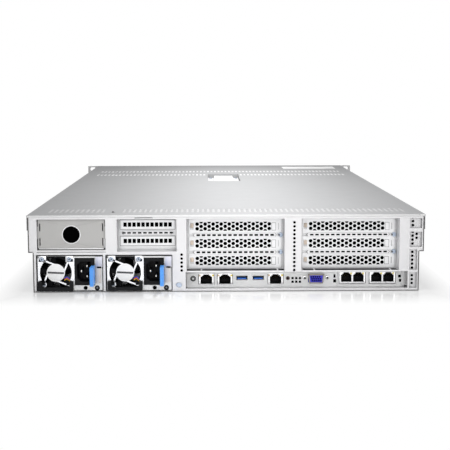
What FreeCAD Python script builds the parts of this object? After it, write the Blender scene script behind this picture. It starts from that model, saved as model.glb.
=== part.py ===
import FreeCAD, Part
import os
import re
import Sketcher

# Driving dimensions of the server, in millimetres, degrees or counts
SIZES = {
    # Case: a wide upper half and a narrower lower half between the rails
    "case_width": 446, "body_width": 434, "case_height": 87, "case_depth": 780,
    "ledge_height": 45, "wall": 1.2, "lid_sheet": 1, "skirt_sheet": 0.7,
    "skirt_height": 17, "gap": 0.3, "front_cover_depth": 105,
    # Rack ears
    "ear_span": 482.6, "ear_hole_span": 465.1, "ear_hole_rise": 76.2,
    "ear_slot_length": 10, "ear_slot_width": 6.6, "ear_sheet": 2.5, "ear_return": 28,
    # Rear wall windows, measured from the left edge of the case or from the floor
    "window_top": 82.3, "bay_left": 11.2, "bay_width": 76.2, "bay_bottom": 47.8,
    "bay_hole_radius": 9.6, "bay_recess": 2.5,
    "supply_left": 10, "supply_pitch": 77.6, "supply_width": 74.2, "supply_height": 40,
    "supply_depth": 196, "supply_bay_top": 42.3,
    "centre_left": 100.4, "centre_width": 66.7, "centre_bottom": 45.8,
    "riser_left": 178.2, "riser_width": 110, "riser_pitch": 129.2, "riser_bottom": 23.3,
    "port_left": 177.2, "port_width": 250, "port_bottom": 3.2, "port_top": 22.2,
    "recess": 20, "vent_recess": 5, "side_vent_left": 429, "side_rib": 2.8,
    "side_vent_first": 21, "side_vent_second": 48.5, "side_vent_third": 68.5,
    "vent_hole": 2.9, "vent_pitch": 4.5, "vent_first": 24.2, "side_column": 433,
    "left_vent_column": 172.6, "left_vents": 5, "middle_vent_column": 299.2,
    "middle_vents": 13, "finger_notch": 2, "finger_notch_width": 20,
    # Expansion slots and their covers
    "slot_pitch": 19.7, "slot_first": 32.2, "cover_sheet": 1, "cover_height": 17.2,
    "cover_width": 106, "hex_pitch": 5.26, "hex_width": 4, "hex_shift": 2.2,
    "hex_outer_columns": 10, "hex_inner_columns": 9, "slot_opening_height": 13.6,
    "slot_opening_width": 92, "bar_height": 3.6, "bar_length": 96,
    "bar_dash_length": 4.2, "bar_dash_height": 2, "bar_dash_pitch": 6, "bar_dashes": 15,
    "tab_hole_width": 3.8, "tab_hole_height": 7, "slit_width": 3.9, "slit_height": 5,
    "slit_pitch": 5.1, "slits": 11, "small_cover_width": 62, "small_cover_height": 10.6,
    "small_slot_first": 55.3, "small_slot_pitch": 18.7, "small_bar_length": 58,
    "small_bar_dashes": 10, "small_opening_height": 8, "small_opening_width": 58,
    "card_length": 150, "card_sheet": 1.6, "connector_length": 89, "connector_depth": 11, "connector_height": 8,
    # Ports, each placed from the left edge of the case
    "jack_width": 16, "jack_height": 13.6, "jack_depth": 21, "jack_proud": 1,
    "jack_mouth_width": 12.6, "jack_mouth_height": 8.8, "jack_mouth_depth": 13,
    "jack_key_width": 6, "jack_key_height": 1.6, "jack_one": 200, "jack_two": 221.3,
    "jack_three": 279.3, "card_jack_one": 359.4, "card_jack_two": 375.8,
    "card_jack_three": 393.6, "card_jack_four": 410, "card_jack_rise": 1.2,
    "usb_one": 240.9, "usb_two": 259.6, "usb_rise": 5, "usb_width": 13.1,
    "usb_height": 5.8, "usb_depth": 14, "usb_wall": 0.5, "usb_tongue": 1.9,
    "video_place": 325.6, "video_rise": 11.2, "video_width": 17.4, "video_height": 9.6,
    "video_taper": 2, "video_proud": 5, "video_flange": 31,
    "lamp_hole_place": 293.5, "lamp_hole_radius": 2.2, "square_hole": 2.4,
    "square_hole_place": 299, "square_hole_pitch": 4.2, "bracket_split": 350,
    "button_place": 185.1, "button_rise": 11.4, "button_radius": 2.3,
    "button_length": 6, "button_travel": 1,
    # Lid and lever
    "slot_length": 33, "slot_width": 3, "lid_slot_pitch": 6.05, "lid_slot_setback": 27,
    "lid_slot_inset": 21.2, "lid_slots_left": 11, "lid_slots_missing": 3,
    "lid_slots_right": 54, "lid_hole_radius": 3,
    "pan_width": 50, "pan_length": 129, "pan_seam_gap": 96.7, "pan_depth": 6, "pan_shift": 4,
    "lever_width": 29.4, "lever_length": 108, "lever_thick": 3, "lever_pin_radius": 1.2,
    "lever_inset": 6, "running_gap": 0.05,
    # Fans
    "fan_side": 80, "fan_thick": 38, "fan_bore_radius": 38, "fan_tip_radius": 36.8,
    "fan_hub_radius": 20, "fan_pitch": 104, "fan_blades": 7, "fan_setback": 199,
    "small_fan_side": 38, "small_fan_thick": 28, "small_bore_radius": 17.8,
    "small_tip_radius": 17, "small_hub_radius": 10.2, "small_blades": 5,
    "small_fan_left": 1.8,
    # Drives
    "drive_width": 101.6, "drive_height": 26.1, "drive_length": 147, "carrier_pitch": 106.5,
    "carrier_width": 105, "carrier_height": 29.5, "carrier_rise": 31,
    "bezel_thick": 10, "strip_margin": 6, "strip_slot": 14,
    "strip_rim": 4, "strip_slots": 20, "carrier_lever_width": 88, "carrier_lever_height": 22,
    # Board and what stands on it
    "board_rise": 2.5, "board_sheet": 1.6, "board_inset": 5, "board_fan_gap": 21,
    "sink_side": 92, "sink_height": 58, "sink_base": 5, "sink_fins": 12, "sink_fin": 1.2,
    "sink_span": 204, "socket_height": 6, "module_height": 30,
    "module_length": 133, "module_sheet": 1.4, "module_pitch": 8.4, "modules_per_bank": 6,
    "shroud_sheet": 1.5, "shroud_top": 76, "shroud_half": 205,
    # Supply inlet, handle and latch
    "inlet_left": 42.5, "inlet_width": 22.6, "inlet_low": 6.5, "inlet_height": 31,
    "inlet_depth": 20, "mouth_left": 2.6, "mouth_low": 4, "mouth_width": 16,
    "mouth_height": 23, "inlet_pin_width": 2, "inlet_pin_height": 4,
    "handle_width": 39, "handle_shift": 0.8, "handle_rise": 9.5, "handle_low": 0.6,
    "handle_bar": 4.2, "latch_thick": 4, "latch_height": 21, "latch_reach": 18,
    "latch_low": 8.5, "latch_place": 63.5, "pin_radius": 1.5,
    "block_left": 66.2, "block_low": 9.6, "block_split": 26.8, "block_top": 39.2,
    "block_step": 2, "lamp_radius": 2.3, "lamp_rise": 3.4, "lamp_one": 54.6,
    "lamp_two": 67.7, "power_button_radius": 3,
    # Rail studs and case screws
    "stud_radius": 3.4, "stud_length": 4.5, "screw_radius": 2.6, "screw_height": 1.1,
}

doc = FreeCAD.newDocument("RackServer")
sheet = doc.addObject("Spreadsheet::Sheet", "Sizes")
for row, (alias, value) in enumerate(SIZES.items(), start=1):
    sheet.set(f"A{row}", alias)
    sheet.set(f"B{row}", str(value))
    sheet.setAlias(f"B{row}", alias)
doc.recompute()

subparts = []


def formula(text):
    """Return the expression text with each named size pointing at its sheet cell."""
    return re.sub(r"[a-z][a-z_0-9]*", lambda word: named(word.group()), str(text))


def named(word):
    return f"Sizes.{word}" if word in SIZES else word


def value(text):
    """Work out a plain number from an expression of named sizes, for shapes made in code."""
    return float(sheet.evalExpression(str(text)))


def bind(item, settings):
    """Bind each named property of an object to an expression of named sizes."""
    for name, text in settings.items():
        item.setExpression(name, formula(text))


def rectangle(left, low, right, high):
    return [(left, low), (right, low), (right, high), (left, high)]


def hexagon(across, up, width):
    """Corners of a hexagon with level upper and lower sides, round the point (across, up)."""
    half = f"({width}) / 2"
    corner = f"({width}) / sqrt(3)"
    side = f"({width}) / sqrt(12)"
    return [
        (f"{across} - {side}", f"{up} - {half}"), (f"{across} + {side}", f"{up} - {half}"),
        (f"{across} + {corner}", up), (f"{across} + {side}", f"{up} + {half}"),
        (f"{across} - {side}", f"{up} + {half}"), (f"{across} - {corner}", up),
    ]


def half_hexagon(across, up, width, sign):
    """The half of a level hexagon that lies towards the middle of a vent band."""
    half = f"({width}) / 2"
    corner = f"({width}) / sqrt(3)"
    side = f"({width}) / sqrt(12)"
    inner = f"{up} - {sign} * {half}"
    return [(f"{across} - {corner}", up), (f"{across} - {side}", inner),
            (f"{across} + {side}", inner), (f"{across} + {corner}", up)]


def draw(sketch, outlines, circles):
    """Draw closed outlines and circles, each point held by bound distances from the origin."""
    constraints = []
    bound = []
    for points in outlines:
        first = sketch.GeometryCount
        places = [(value(across), value(up)) for across, up in points]
        for index, (across, up) in enumerate(places):
            end = places[(index + 1) % len(places)]
            sketch.addGeometry(Part.LineSegment(
                FreeCAD.Vector(across, up, 0), FreeCAD.Vector(end[0], end[1], 0)))
        for index, point in enumerate(points):
            line = first + index
            following = first + (index + 1) % len(points)
            constraints.append(Sketcher.Constraint("Coincident", line, 2, following, 1))
            hold(constraints, bound, line, 1, point)
    for across, up, radius in circles:
        place = FreeCAD.Vector(value(across), value(up), 0)
        circle = sketch.addGeometry(
            Part.Circle(place, FreeCAD.Vector(0, 0, 1), value(radius)))
        hold(constraints, bound, circle, 3, (across, up))
        bound.append((len(constraints), radius))
        constraints.append(Sketcher.Constraint("Radius", circle, value(radius)))
    sketch.addConstraint(constraints)
    for index, text in bound:
        sketch.setExpression(f"Constraints[{index}]", formula(text))


def hold(constraints, bound, line, vertex, point):
    """Hold one vertex by its distances across and up from the sketch's origin."""
    for kind, text in zip(("DistanceX", "DistanceY"), point):
        bound.append((len(constraints), text))
        constraints.append(Sketcher.Constraint(kind, -1, 1, line, vertex, value(text)))


def new_body(label):
    item = doc.addObject("PartDesign::Body", label)
    item.Label = label
    return item


def origin_feature(body, role):
    return next(item for item in body.Origin.OriginFeatures if item.Role == role)


def slab(body, plane, start, length, outlines=(), circles=(), cut=False):
    """Add or cut a prism that runs from start along the positive axis square to the plane."""
    sketch = body.newObject("Sketcher::SketchObject", f"{body.Label}_outline")
    sketch.AttachmentSupport = (origin_feature(body, f"{plane}_Plane"), [""])
    sketch.MapMode = "FlatFace"
    backwards = plane == "XZ"
    level = f"-({start})" if backwards else start
    sketch.setExpression("AttachmentOffset.Base.z", formula(level))
    draw(sketch, outlines, circles)
    kind = "Pocket" if cut else "Pad"
    feature = body.newObject(f"PartDesign::{kind}", f"{body.Label}_{kind.lower()}")
    feature.Profile = sketch
    feature.setExpression("Length", formula(length))
    feature.Reversed = not backwards if cut else backwards
    return feature


def cut_slab(body, plane, start, length, outlines=(), circles=()):
    return slab(body, plane, start, length, outlines, circles, cut=True)


def row_of(feature, axis, pitch, count):
    """Repeat a pad or pocket along the first or second axis of its own sketch."""
    body = feature.getParentGeoFeatureGroup()
    pattern = body.newObject("PartDesign::LinearPattern", f"{feature.Name}_row")
    pattern.Originals = [feature]
    pattern.Direction = (feature.Profile[0], [axis])
    pattern.Mode = "Spacing"
    bind(pattern, {"Offset": pitch, "Occurrences": count})
    body.Tip = pattern
    return pattern


def ring_of(feature, role, count):
    """Repeat a pad or pocket round one of the body's own axes."""
    body = feature.getParentGeoFeatureGroup()
    pattern = body.newObject("PartDesign::PolarPattern", f"{feature.Name}_ring")
    pattern.Originals = [feature]
    pattern.Axis = (origin_feature(body, role), [""])
    pattern.Angle = 360
    bind(pattern, {"Occurrences": count})
    body.Tip = pattern
    return pattern


def keep(item):
    """List an object as one of the server's sub-parts, to be written under its label."""
    subparts.append(item)
    return item


def place_shape(label, shape, base=(0, 0, 0)):
    """A sub-part whose shape repeats another one's, at a place of its own."""
    item = doc.addObject("Part::Feature", label)
    item.Label = label
    item.Shape = shape
    item.Placement = FreeCAD.Placement(
        FreeCAD.Vector(*(value(text) for text in base)), FreeCAD.Rotation())
    return item


def copies(source, places):
    """Loose copies of a finished body, one for each place, as a single compound shape."""
    doc.recompute()
    shapes = []
    for place in places:
        shape = source.Shape.copy()
        shape.translate(FreeCAD.Vector(*(value(text) for text in place)))
        shapes.append(shape)
    return Part.makeCompound(shapes)


# Places that many sub-parts share
REAR = "-case_depth / 2"
FRONT = "case_depth / 2"
LEFT = "-case_width / 2"
LID_UNDERSIDE = "case_height - lid_sheet"
WALL_TOP = "case_height - lid_sheet - gap"
BODY_INSIDE = "body_width / 2 - wall"
LEDGE_HALF = "case_width / 2 - skirt_sheet - gap"
BOARD_TOP = "wall + board_rise + board_sheet"
PAN_REAR = f"({FRONT} - front_cover_depth - gap - pan_seam_gap - pan_length)"
LEVER_AXIS_Y = f"{PAN_REAR} + lever_inset"
LEVER_AXIS_Z = "case_height - pan_depth / 2"
FAN_REAR = f"({FRONT} - fan_setback)"
INNER_MIDDLE = f"({REAR} + supply_depth + {FAN_REAR}) / 2"


def group(label, items):
    """Several loose solids under one label, such as a pair of ears or a set of screws."""
    item = doc.addObject("Part::Compound", label)
    item.Label = label
    item.Links = items
    return item


def mirrored(points, sign):
    return [(f"{sign} * ({across})", up) for across, up in points]


# Chassis shell


def make_chassis_tray():
    body = new_body("chassis_tray")
    low = "body_width / 2"
    top = LEDGE_HALF
    right = [
        (low, "0"), (low, "ledge_height"), (top, "ledge_height"), (top, WALL_TOP),
        (f"{top} - wall", WALL_TOP), (f"{top} - wall", "ledge_height + wall"),
        (f"{low} - wall", "ledge_height + wall"), (f"{low} - wall", "wall"),
    ]
    left = mirrored(reversed(right), -1)
    slab(body, "XZ", REAR, "case_depth", [right + left])
    cage_rear = f"{REAR} + wall"
    cage_depth = "supply_depth"
    left_inside = f"-({BODY_INSIDE})"
    between = f"{LEFT} + supply_left + supply_width + gap"
    second = f"{LEFT} + supply_left + supply_pitch"
    right_side = f"{second} + supply_width + gap"
    shelf = [
        (left_inside, "supply_bay_top"), (between, "supply_bay_top"), (between, "wall"),
        (f"{second} - gap", "wall"), (f"{second} - gap", "supply_bay_top"),
        (right_side, "supply_bay_top"), (right_side, "wall"),
        (f"{right_side} + wall", "wall"), (f"{right_side} + wall", "supply_bay_top + wall"),
        (left_inside, "supply_bay_top + wall"),
    ]
    slab(body, "XZ", cage_rear, cage_depth, [shelf])
    return keep(body)


def panel_half(inset="0"):
    """Right half of the wall that closes the stepped tray, from the floor up."""
    low = f"{BODY_INSIDE} - {inset}"
    top = f"{LEDGE_HALF} - wall - {inset}"
    return [(low, "wall"), (low, "ledge_height + wall"), (top, "ledge_height + wall"),
            (top, WALL_TOP)]


def make_rear_panel():
    body = new_body("rear_panel")
    half = panel_half()
    slab(body, "XZ", REAR, "wall", [half + mirrored(reversed(half), -1)])
    side = f"{LEFT} + side_vent_left"
    return_wall = rectangle(f"{side} - wall", "wall", side, WALL_TOP)
    slab(body, "XZ", REAR, "vent_recess + wall", [return_wall])
    back = [(f"{side} - wall", "wall")] + half + [(f"{side} - wall", WALL_TOP)]
    slab(body, "XZ", f"{REAR} + vent_recess", "wall", [back])
    cut_slab(body, "XZ", REAR, "wall", rear_windows())
    cut_slab(body, "XZ", REAR, "wall", side_windows(side))
    cut_vent_columns(body)
    return keep(body)


def rear_windows():
    """Openings of the rear wall: bay, supplies, risers and the row of ports."""
    bay = f"{LEFT} + bay_left"
    centre = f"{LEFT} + centre_left"
    port = f"{LEFT} + port_left"
    outlines = [
        rectangle(bay, "bay_bottom", f"{bay} + bay_width", "window_top"),
        notched(centre, "centre_bottom", "centre_width", 0.45),
    ]
    for number in (0, 1):
        left = f"{LEFT} + supply_left + {number} * supply_pitch"
        outlines.append(rectangle(
            f"{left} - gap", "wall", f"{left} + supply_width + gap", "supply_bay_top"))
    riser = f"{LEFT} + riser_left"
    second = f"{riser} + riser_pitch"
    outlines.append([
        (port, "port_bottom"), (f"{port} + port_width", "port_bottom"),
        (f"{port} + port_width", "port_top"), (f"{second} + riser_width", "port_top"),
        (f"{second} + riser_width", "window_top"), (second, "window_top"),
        (second, "port_top"), (f"{riser} + riser_width", "port_top"),
        (f"{riser} + riser_width", "window_top"), (riser, "window_top"),
        (riser, "port_top"), (port, "port_top"),
    ])
    return outlines


def notched(left, low, width, share):
    """A window whose upper edge has a finger notch at the given share of its width."""
    notch = f"{left} + {share} * {width} - finger_notch_width / 2"
    return [
        (left, low), (f"{left} + {width}", low), (f"{left} + {width}", "window_top"),
        (f"{notch} + finger_notch_width", "window_top"),
        (f"{notch} + finger_notch_width", "window_top + finger_notch"),
        (notch, "window_top + finger_notch"), (notch, "window_top"), (left, "window_top"),
    ]


def side_windows(side):
    """Four openings one above the other in front of the recessed side vent."""
    narrow = f"{BODY_INSIDE} - wall"
    wide = f"{LEDGE_HALF} - 2 * wall"
    return [
        rectangle(side, "port_bottom", narrow, "side_vent_first"),
        rectangle(side, "side_vent_first + side_rib", narrow, "side_vent_second - side_rib / 2"),
        rectangle(side, "side_vent_second + side_rib / 2", wide,
                  "side_vent_third - side_rib / 2"),
        rectangle(side, "side_vent_third + side_rib", wide, "window_top"),
    ]


def cut_vent_columns(body):
    """Upright columns of small holes in the wall and in the recessed side vent."""
    columns = [
        ("left_vent_column", "vent_first", "left_vents", "0"),
        ("middle_vent_column", "vent_first", "middle_vents", "0"),
        ("side_column", "port_bottom + vent_pitch", "3", "vent_recess"),
        ("side_column", "side_vent_first + vent_pitch", "5", "vent_recess"),
        ("side_column", "side_vent_second + vent_pitch", "4", "vent_recess"),
        ("side_column + vent_pitch", "side_vent_third - 2 * vent_pitch", "2", "vent_recess"),
        ("side_column", "side_vent_third + 1.2 * vent_pitch", "3", "vent_recess"),
    ]
    for column, first, count, recess in columns:
        hole = hexagon(f"{LEFT} + {column}", first, "vent_hole")
        start = f"{REAR} + {recess}"
        row_of(cut_slab(body, "XZ", start, "wall", [hole]), "V_Axis", "vent_pitch", count)


def make_front_top_cover():
    body = new_body("front_top_cover")
    slab(body, "XZ", f"{FRONT} - front_cover_depth", "front_cover_depth", [cap_profile()])
    return keep(body)


def cap_profile():
    """Section of a top cover whose two skirts lap outside the upper walls."""
    outside = "case_width / 2"
    inside = "case_width / 2 - skirt_sheet"
    skirt_low = "case_height - skirt_height"
    half = [(inside, LID_UNDERSIDE), (inside, skirt_low), (outside, skirt_low),
            (outside, "case_height")]
    return mirrored(reversed(half), -1) + half


def make_lid():
    body = new_body("lid")
    length = f"case_depth - front_cover_depth - gap"
    slab(body, "XZ", REAR, length, [cap_profile()])
    pan = ("pan_shift - pan_width / 2", PAN_REAR)
    far = ("pan_shift + pan_width / 2", f"{pan[1]} + pan_length")
    outer = rectangle(f"{pan[0]} - lid_sheet", f"{pan[1]} - lid_sheet",
                      f"{far[0]} + lid_sheet", f"{far[1]} + lid_sheet")
    inner = rectangle(*pan, *far)
    slab(body, "XY", "case_height - pan_depth - lid_sheet", "pan_depth", [outer])
    cut_slab(body, "XY", "case_height - pan_depth", "pan_depth", [inner])
    slab(body, "YZ", f"{pan[0]} - lid_sheet", "pan_width + 2 * lid_sheet",
         circles=[(LEVER_AXIS_Y, LEVER_AXIS_Z, "lever_pin_radius")])
    first = f"{LEFT} + lid_slot_inset"
    passed = "(lid_slots_left + lid_slots_missing) * lid_slot_pitch"
    for start, count in ((first, "lid_slots_left"), (f"{first} + {passed}", "lid_slots_right")):
        slot = rectangle(f"{start} - slot_width / 2", f"{REAR} + lid_slot_setback",
                         f"{start} + slot_width / 2",
                         f"{REAR} + lid_slot_setback + slot_length")
        row_of(cut_slab(body, "XY", LID_UNDERSIDE, "lid_sheet", [slot]), "H_Axis",
               "lid_slot_pitch", count)
    hole = (f"{first} + (lid_slots_left + 1) * lid_slot_pitch",
            f"{REAR} + lid_slot_setback + lid_hole_radius", "lid_hole_radius")
    body.Tip = cut_slab(body, "XY", LID_UNDERSIDE, "lid_sheet", circles=[hole])
    return keep(body)


def make_bay_blank_plate():
    """Full cover over the upper left bay: a dished plate with one round hole."""
    body = new_body("bay_blank_plate")
    left = f"{LEFT} + bay_left - 2 * wall"
    right = f"{LEFT} + bay_left + bay_width + 2 * wall"
    front = f"{REAR} + bay_recess"
    middle = (f"{LEFT} + bay_left + bay_width / 2", "(bay_bottom + window_top) / 2",
              "bay_hole_radius")
    face = rectangle(left, "bay_bottom + gap", right, "window_top - gap")
    slab(body, "XZ", front, "wall", [face])
    for side in (left, f"{right} - wall"):
        flange = rectangle(side, "bay_bottom + gap", f"{side} + wall", "window_top - gap")
        slab(body, "XZ", f"{REAR} + wall", "bay_recess + 5 * wall", [flange])
    for low in ("bay_bottom + 4 * wall", "window_top - 11 * wall"):
        for side in (f"{left} + 4 * wall", f"{right} - 5 * wall"):
            slit = rectangle(side, low, f"{side} + wall", f"{low} + 7 * wall")
            cut_slab(body, "XZ", front, "wall", [slit])
    body.Tip = cut_slab(body, "XZ", front, "wall", circles=[middle])
    return keep(body)


def make_rack_ears():
    """Flanges at the drive end, each with slots for the rack's screws."""
    ears = []
    for name, sign in (("left_ear", -1), ("right_ear", 1)):
        body = new_body(name)
        low = "body_width / 2"
        flange = [
            (low, "0"), ("ear_span / 2", "0"), ("ear_span / 2", "case_height"),
            ("case_width / 2 + gap", "case_height"), ("case_width / 2 + gap", "ledge_height"),
            (low, "ledge_height"),
        ]
        slab(body, "XZ", f"{FRONT} - ear_sheet", "ear_sheet", [mirrored(flange, sign)])
        side = rectangle(low, "wall", f"{low} + ear_sheet", "ledge_height - wall")
        slab(body, "XZ", f"{FRONT} - ear_return", "ear_return", [mirrored(side, sign)])
        cut_ear_slots(body, sign)
        ears.append(body)
    button = ("ear_hole_span / 2", "0.7 * case_height", "power_button_radius + gap")
    ears[1].Tip = cut_slab(ears[1], "XZ", f"{FRONT} - ear_sheet", "ear_sheet",
                           circles=[button])
    return keep(group("rack_ears", ears))


def cut_ear_slots(body, sign):
    """Two slots in one ear, each with straight sides between round ends."""
    across = f"{sign} * ear_hole_span / 2"
    straight = "(ear_slot_length - ear_slot_width) / 2"
    radius = "ear_slot_width / 2"
    start = f"{FRONT} - ear_sheet"
    heights = [f"case_height / 2 + {turn} * ear_hole_rise / 2" for turn in (-1, 1)]
    for end in (-1, 1):
        ends = [(f"{across} + {end} * {straight}", height, radius) for height in heights]
        cut_slab(body, "XZ", start, "ear_sheet", circles=ends)
    middles = [rectangle(f"{across} - {straight}", f"{height} - {radius}",
                         f"{across} + {straight}", f"{height} + {radius}")
               for height in heights]
    body.Tip = cut_slab(body, "XZ", start, "ear_sheet", middles)



# Expansion cages at the rear

RECESS = f"{REAR} + recess"


def make_riser_cage(label, left, width, low, slots, opening, bars):
    """A sheet tunnel behind a rear window, with its slots, retaining bars and inner arms."""
    body = new_body(label)
    right = f"{left} + {width}"
    top = "window_top"
    tunnel = rectangle(f"{left} - wall", f"{low} - wall", f"{right} + wall", f"{top} + wall")
    hollow = rectangle(left, low, right, top)
    slab(body, "XZ", f"{REAR} + wall", "recess", [tunnel])
    cut_slab(body, "XZ", f"{REAR} + wall", "recess - wall", [hollow])
    arm = [
        (f"{left} - wall", top), (right, top), (right, low), (f"{right} + wall", low),
        (f"{right} + wall", f"{top} + wall"), (f"{left} - wall", f"{top} + wall"),
    ]
    slab(body, "XZ", f"{RECESS} + wall", "card_length", [arm])
    centre = f"({left} + {width} / 2)"
    openings = [centred(centre, height, opening) for height in slots]
    body.Tip = cut_slab(body, "XZ", RECESS, "wall", openings)
    length, dashes = bars
    for below, above in zip(slots, slots[1:]):
        add_retaining_bar(body, centre, f"({below} + {above}) / 2", length, dashes)
    return keep(body)


def centred(across, up, size):
    width, height = (f"({length}) / 2" for length in size)
    return rectangle(f"{across} - {width}", f"{up} - {height}",
                     f"{across} + {width}", f"{up} + {height}")


def add_retaining_bar(body, centre, height, length, dashes):
    """A raised bar with a row of dashes, on a stem that passes between two covers."""
    stem = centred(centre, height, (length, "bar_height / 2"))
    slab(body, "XZ", f"{RECESS} - cover_sheet", "cover_sheet", [stem])
    head = centred(centre, height, (length, "bar_height"))
    slab(body, "XZ", f"{RECESS} - 2 * cover_sheet", "cover_sheet", [head])
    first = f"{centre} - ({dashes} - 1) * bar_dash_pitch / 2"
    dash = centred(first, height, ("bar_dash_length", "bar_dash_height"))
    pocket = cut_slab(body, "XZ", f"{RECESS} - 2 * cover_sheet", "cover_sheet", [dash])
    row_of(pocket, "H_Axis", "bar_dash_pitch", dashes)


def make_honeycomb_cover():
    """One full-width slot cover, perforated by a honeycomb that its band cuts in half."""
    body = new_body("honeycomb_cover")
    slab(body, "XZ", "-cover_sheet", "cover_sheet",
         [centred("0", "0", ("cover_width", "cover_height"))])
    column = "hex_pitch * sqrt(3) / 2"
    outer = f"-hex_shift - (hex_outer_columns - 1) * {column}"
    inner = f"-hex_shift - (hex_inner_columns - 1) * {column}"
    pairs = [hexagon(outer, f"{turn} * hex_pitch / 2", "hex_width") for turn in (-1, 1)]
    middles = [hexagon(inner, "0 * hex_pitch", "hex_width")]
    middles += [half_hexagon(inner, f"{turn} * hex_pitch", "hex_width", turn)
                for turn in (-1, 1)]
    for holes, count in ((pairs, "hex_outer_columns"), (middles, "hex_inner_columns")):
        pocket = cut_slab(body, "XZ", "-cover_sheet", "cover_sheet", holes)
        row_of(pocket, "H_Axis", f"2 * {column}", count)
    tab = "cover_width / 2 - tab_hole_width"
    body.Tip = cut_slab(body, "XZ", "-cover_sheet", "cover_sheet", [
        centred(f"-({tab})", "0", ("tab_hole_width", "tab_hole_height")),
        centred(tab, "0", ("cover_sheet", "tab_hole_height")),
    ])
    return body


def make_slitted_cover():
    """One short slot cover with a row of upright slits."""
    body = new_body("slitted_cover")
    slab(body, "XZ", "-cover_sheet", "cover_sheet",
         [centred("0", "0", ("small_cover_width", "small_cover_height"))])
    slit = centred("-(slits - 1) * slit_pitch / 2", "0", ("slit_width", "slit_height"))
    pocket = cut_slab(body, "XZ", "-cover_sheet", "cover_sheet", [slit])
    row_of(pocket, "H_Axis", "slit_pitch", "slits")
    return body


def make_expansion():
    """Three cages, the covers of their slots and the cards that stand inside them."""
    centre = f"{LEFT} + centre_left"
    left = f"{LEFT} + riser_left"
    right = f"{left} + riser_pitch"
    full = ("slot_opening_width", "slot_opening_height")
    small = ("small_opening_width", "small_opening_height")
    rows = [f"slot_first + {number} * slot_pitch" for number in range(3)]
    small_rows = [f"small_slot_first + {number} * small_slot_pitch" for number in range(2)]
    make_riser_cage("riser_cage_centre", centre, "centre_width", "centre_bottom",
                    small_rows, small, ("small_bar_length", "small_bar_dashes"))
    for label, edge in (("riser_cage_left", left), ("riser_cage_right", right)):
        make_riser_cage(label, edge, "riser_width", "riser_bottom", rows, full,
                        ("bar_length", "bar_dashes"))
    wide = copies(make_honeycomb_cover(), [
        (f"{edge} + riser_width / 2", RECESS, row) for edge in (left, right) for row in rows])
    short = copies(make_slitted_cover(), [
        (f"{centre} + centre_width / 2", RECESS, row) for row in small_rows])
    keep(place_shape("slot_covers", Part.makeCompound([wide, short])))
    cards = [make_riser_card("left_card", left, rows), make_riser_card("right_card", right, rows)]
    keep(group("riser_cards", cards))


def make_riser_card(label, left, rows):
    """A card that stands in the board's socket, with one connector behind each slot."""
    body = new_body(label)
    side = f"{left} + riser_width"
    rear = f"{RECESS} + jack_depth + gap"
    low = BOARD_TOP
    face = rectangle(rear, low, f"{RECESS} + wall + card_length", "window_top")
    slab(body, "YZ", f"{side} - card_sheet", "card_sheet", [face])
    connectors = [rectangle(f"{rear} + 4 * wall", f"{row} - connector_height / 2",
                            f"{rear} + connector_length", f"{row} + connector_height / 2")
                  for row in rows]
    body.Tip = slab(body, "YZ", f"{side} - card_sheet - connector_depth",
                    "connector_depth", connectors)
    return body


# Ports along the rear edge of the board


def place(name):
    """Distance across from the case's middle to a place measured from its left edge."""
    return f"({LEFT} + {name})"


def make_io_bracket():
    """Recessed plate with an opening for each port of the board."""
    body = new_body("io_bracket")
    top = "port_top - 2 * gap"
    split = place("bracket_split")
    slab(body, "XZ", RECESS, "wall", [rectangle(place("port_left"), "wall", split, top)])
    height = f"{BOARD_TOP} + jack_height / 2"
    openings = [centred(place(jack), height, ("jack_width + gap", "jack_height + gap"))
                for jack in ("jack_one", "jack_two", "jack_three")]
    usb_height = f"{BOARD_TOP} + usb_rise + usb_height / 2"
    openings += [centred(place(port), usb_height, ("usb_width + gap", "usb_height + gap"))
                 for port in ("usb_one", "usb_two")]
    openings.append(centred(place("video_place"), "video_rise",
                            ("video_width + gap", "video_height + gap")))
    round_holes = [(place("button_place"), "button_rise", "button_radius + gap"),
                   (place("lamp_hole_place"), "button_rise", "lamp_hole_radius")]
    cut_slab(body, "XZ", RECESS, "wall", openings)
    cut_slab(body, "XZ", RECESS, "wall", circles=round_holes)
    for row in ("button_rise", "button_rise - square_hole_pitch"):
        hole = centred(place("square_hole_place"), row, ("square_hole", "square_hole"))
        row_of(cut_slab(body, "XZ", RECESS, "wall", [hole]), "H_Axis",
               "square_hole_pitch", 3)
    return keep(body)


def make_nic_bracket():
    """Bracket of the network card: a plate with openings for its four jacks."""
    body = new_body("nic_bracket")
    left = f"{place('bracket_split')} + gap"
    right = f"{place('port_left')} + port_width"
    slab(body, "XZ", RECESS, "wall", [rectangle(left, "wall", right, "port_top - 2 * gap")])
    height = f"{BOARD_TOP} + card_jack_rise + jack_height / 2"
    body.Tip = cut_slab(body, "XZ", RECESS, "wall", [
        centred(place(jack), height, ("jack_width + gap", "jack_height + gap"))
        for jack in CARD_JACKS])
    return keep(body)


CARD_JACKS = ("card_jack_one", "card_jack_two", "card_jack_three", "card_jack_four")


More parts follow.
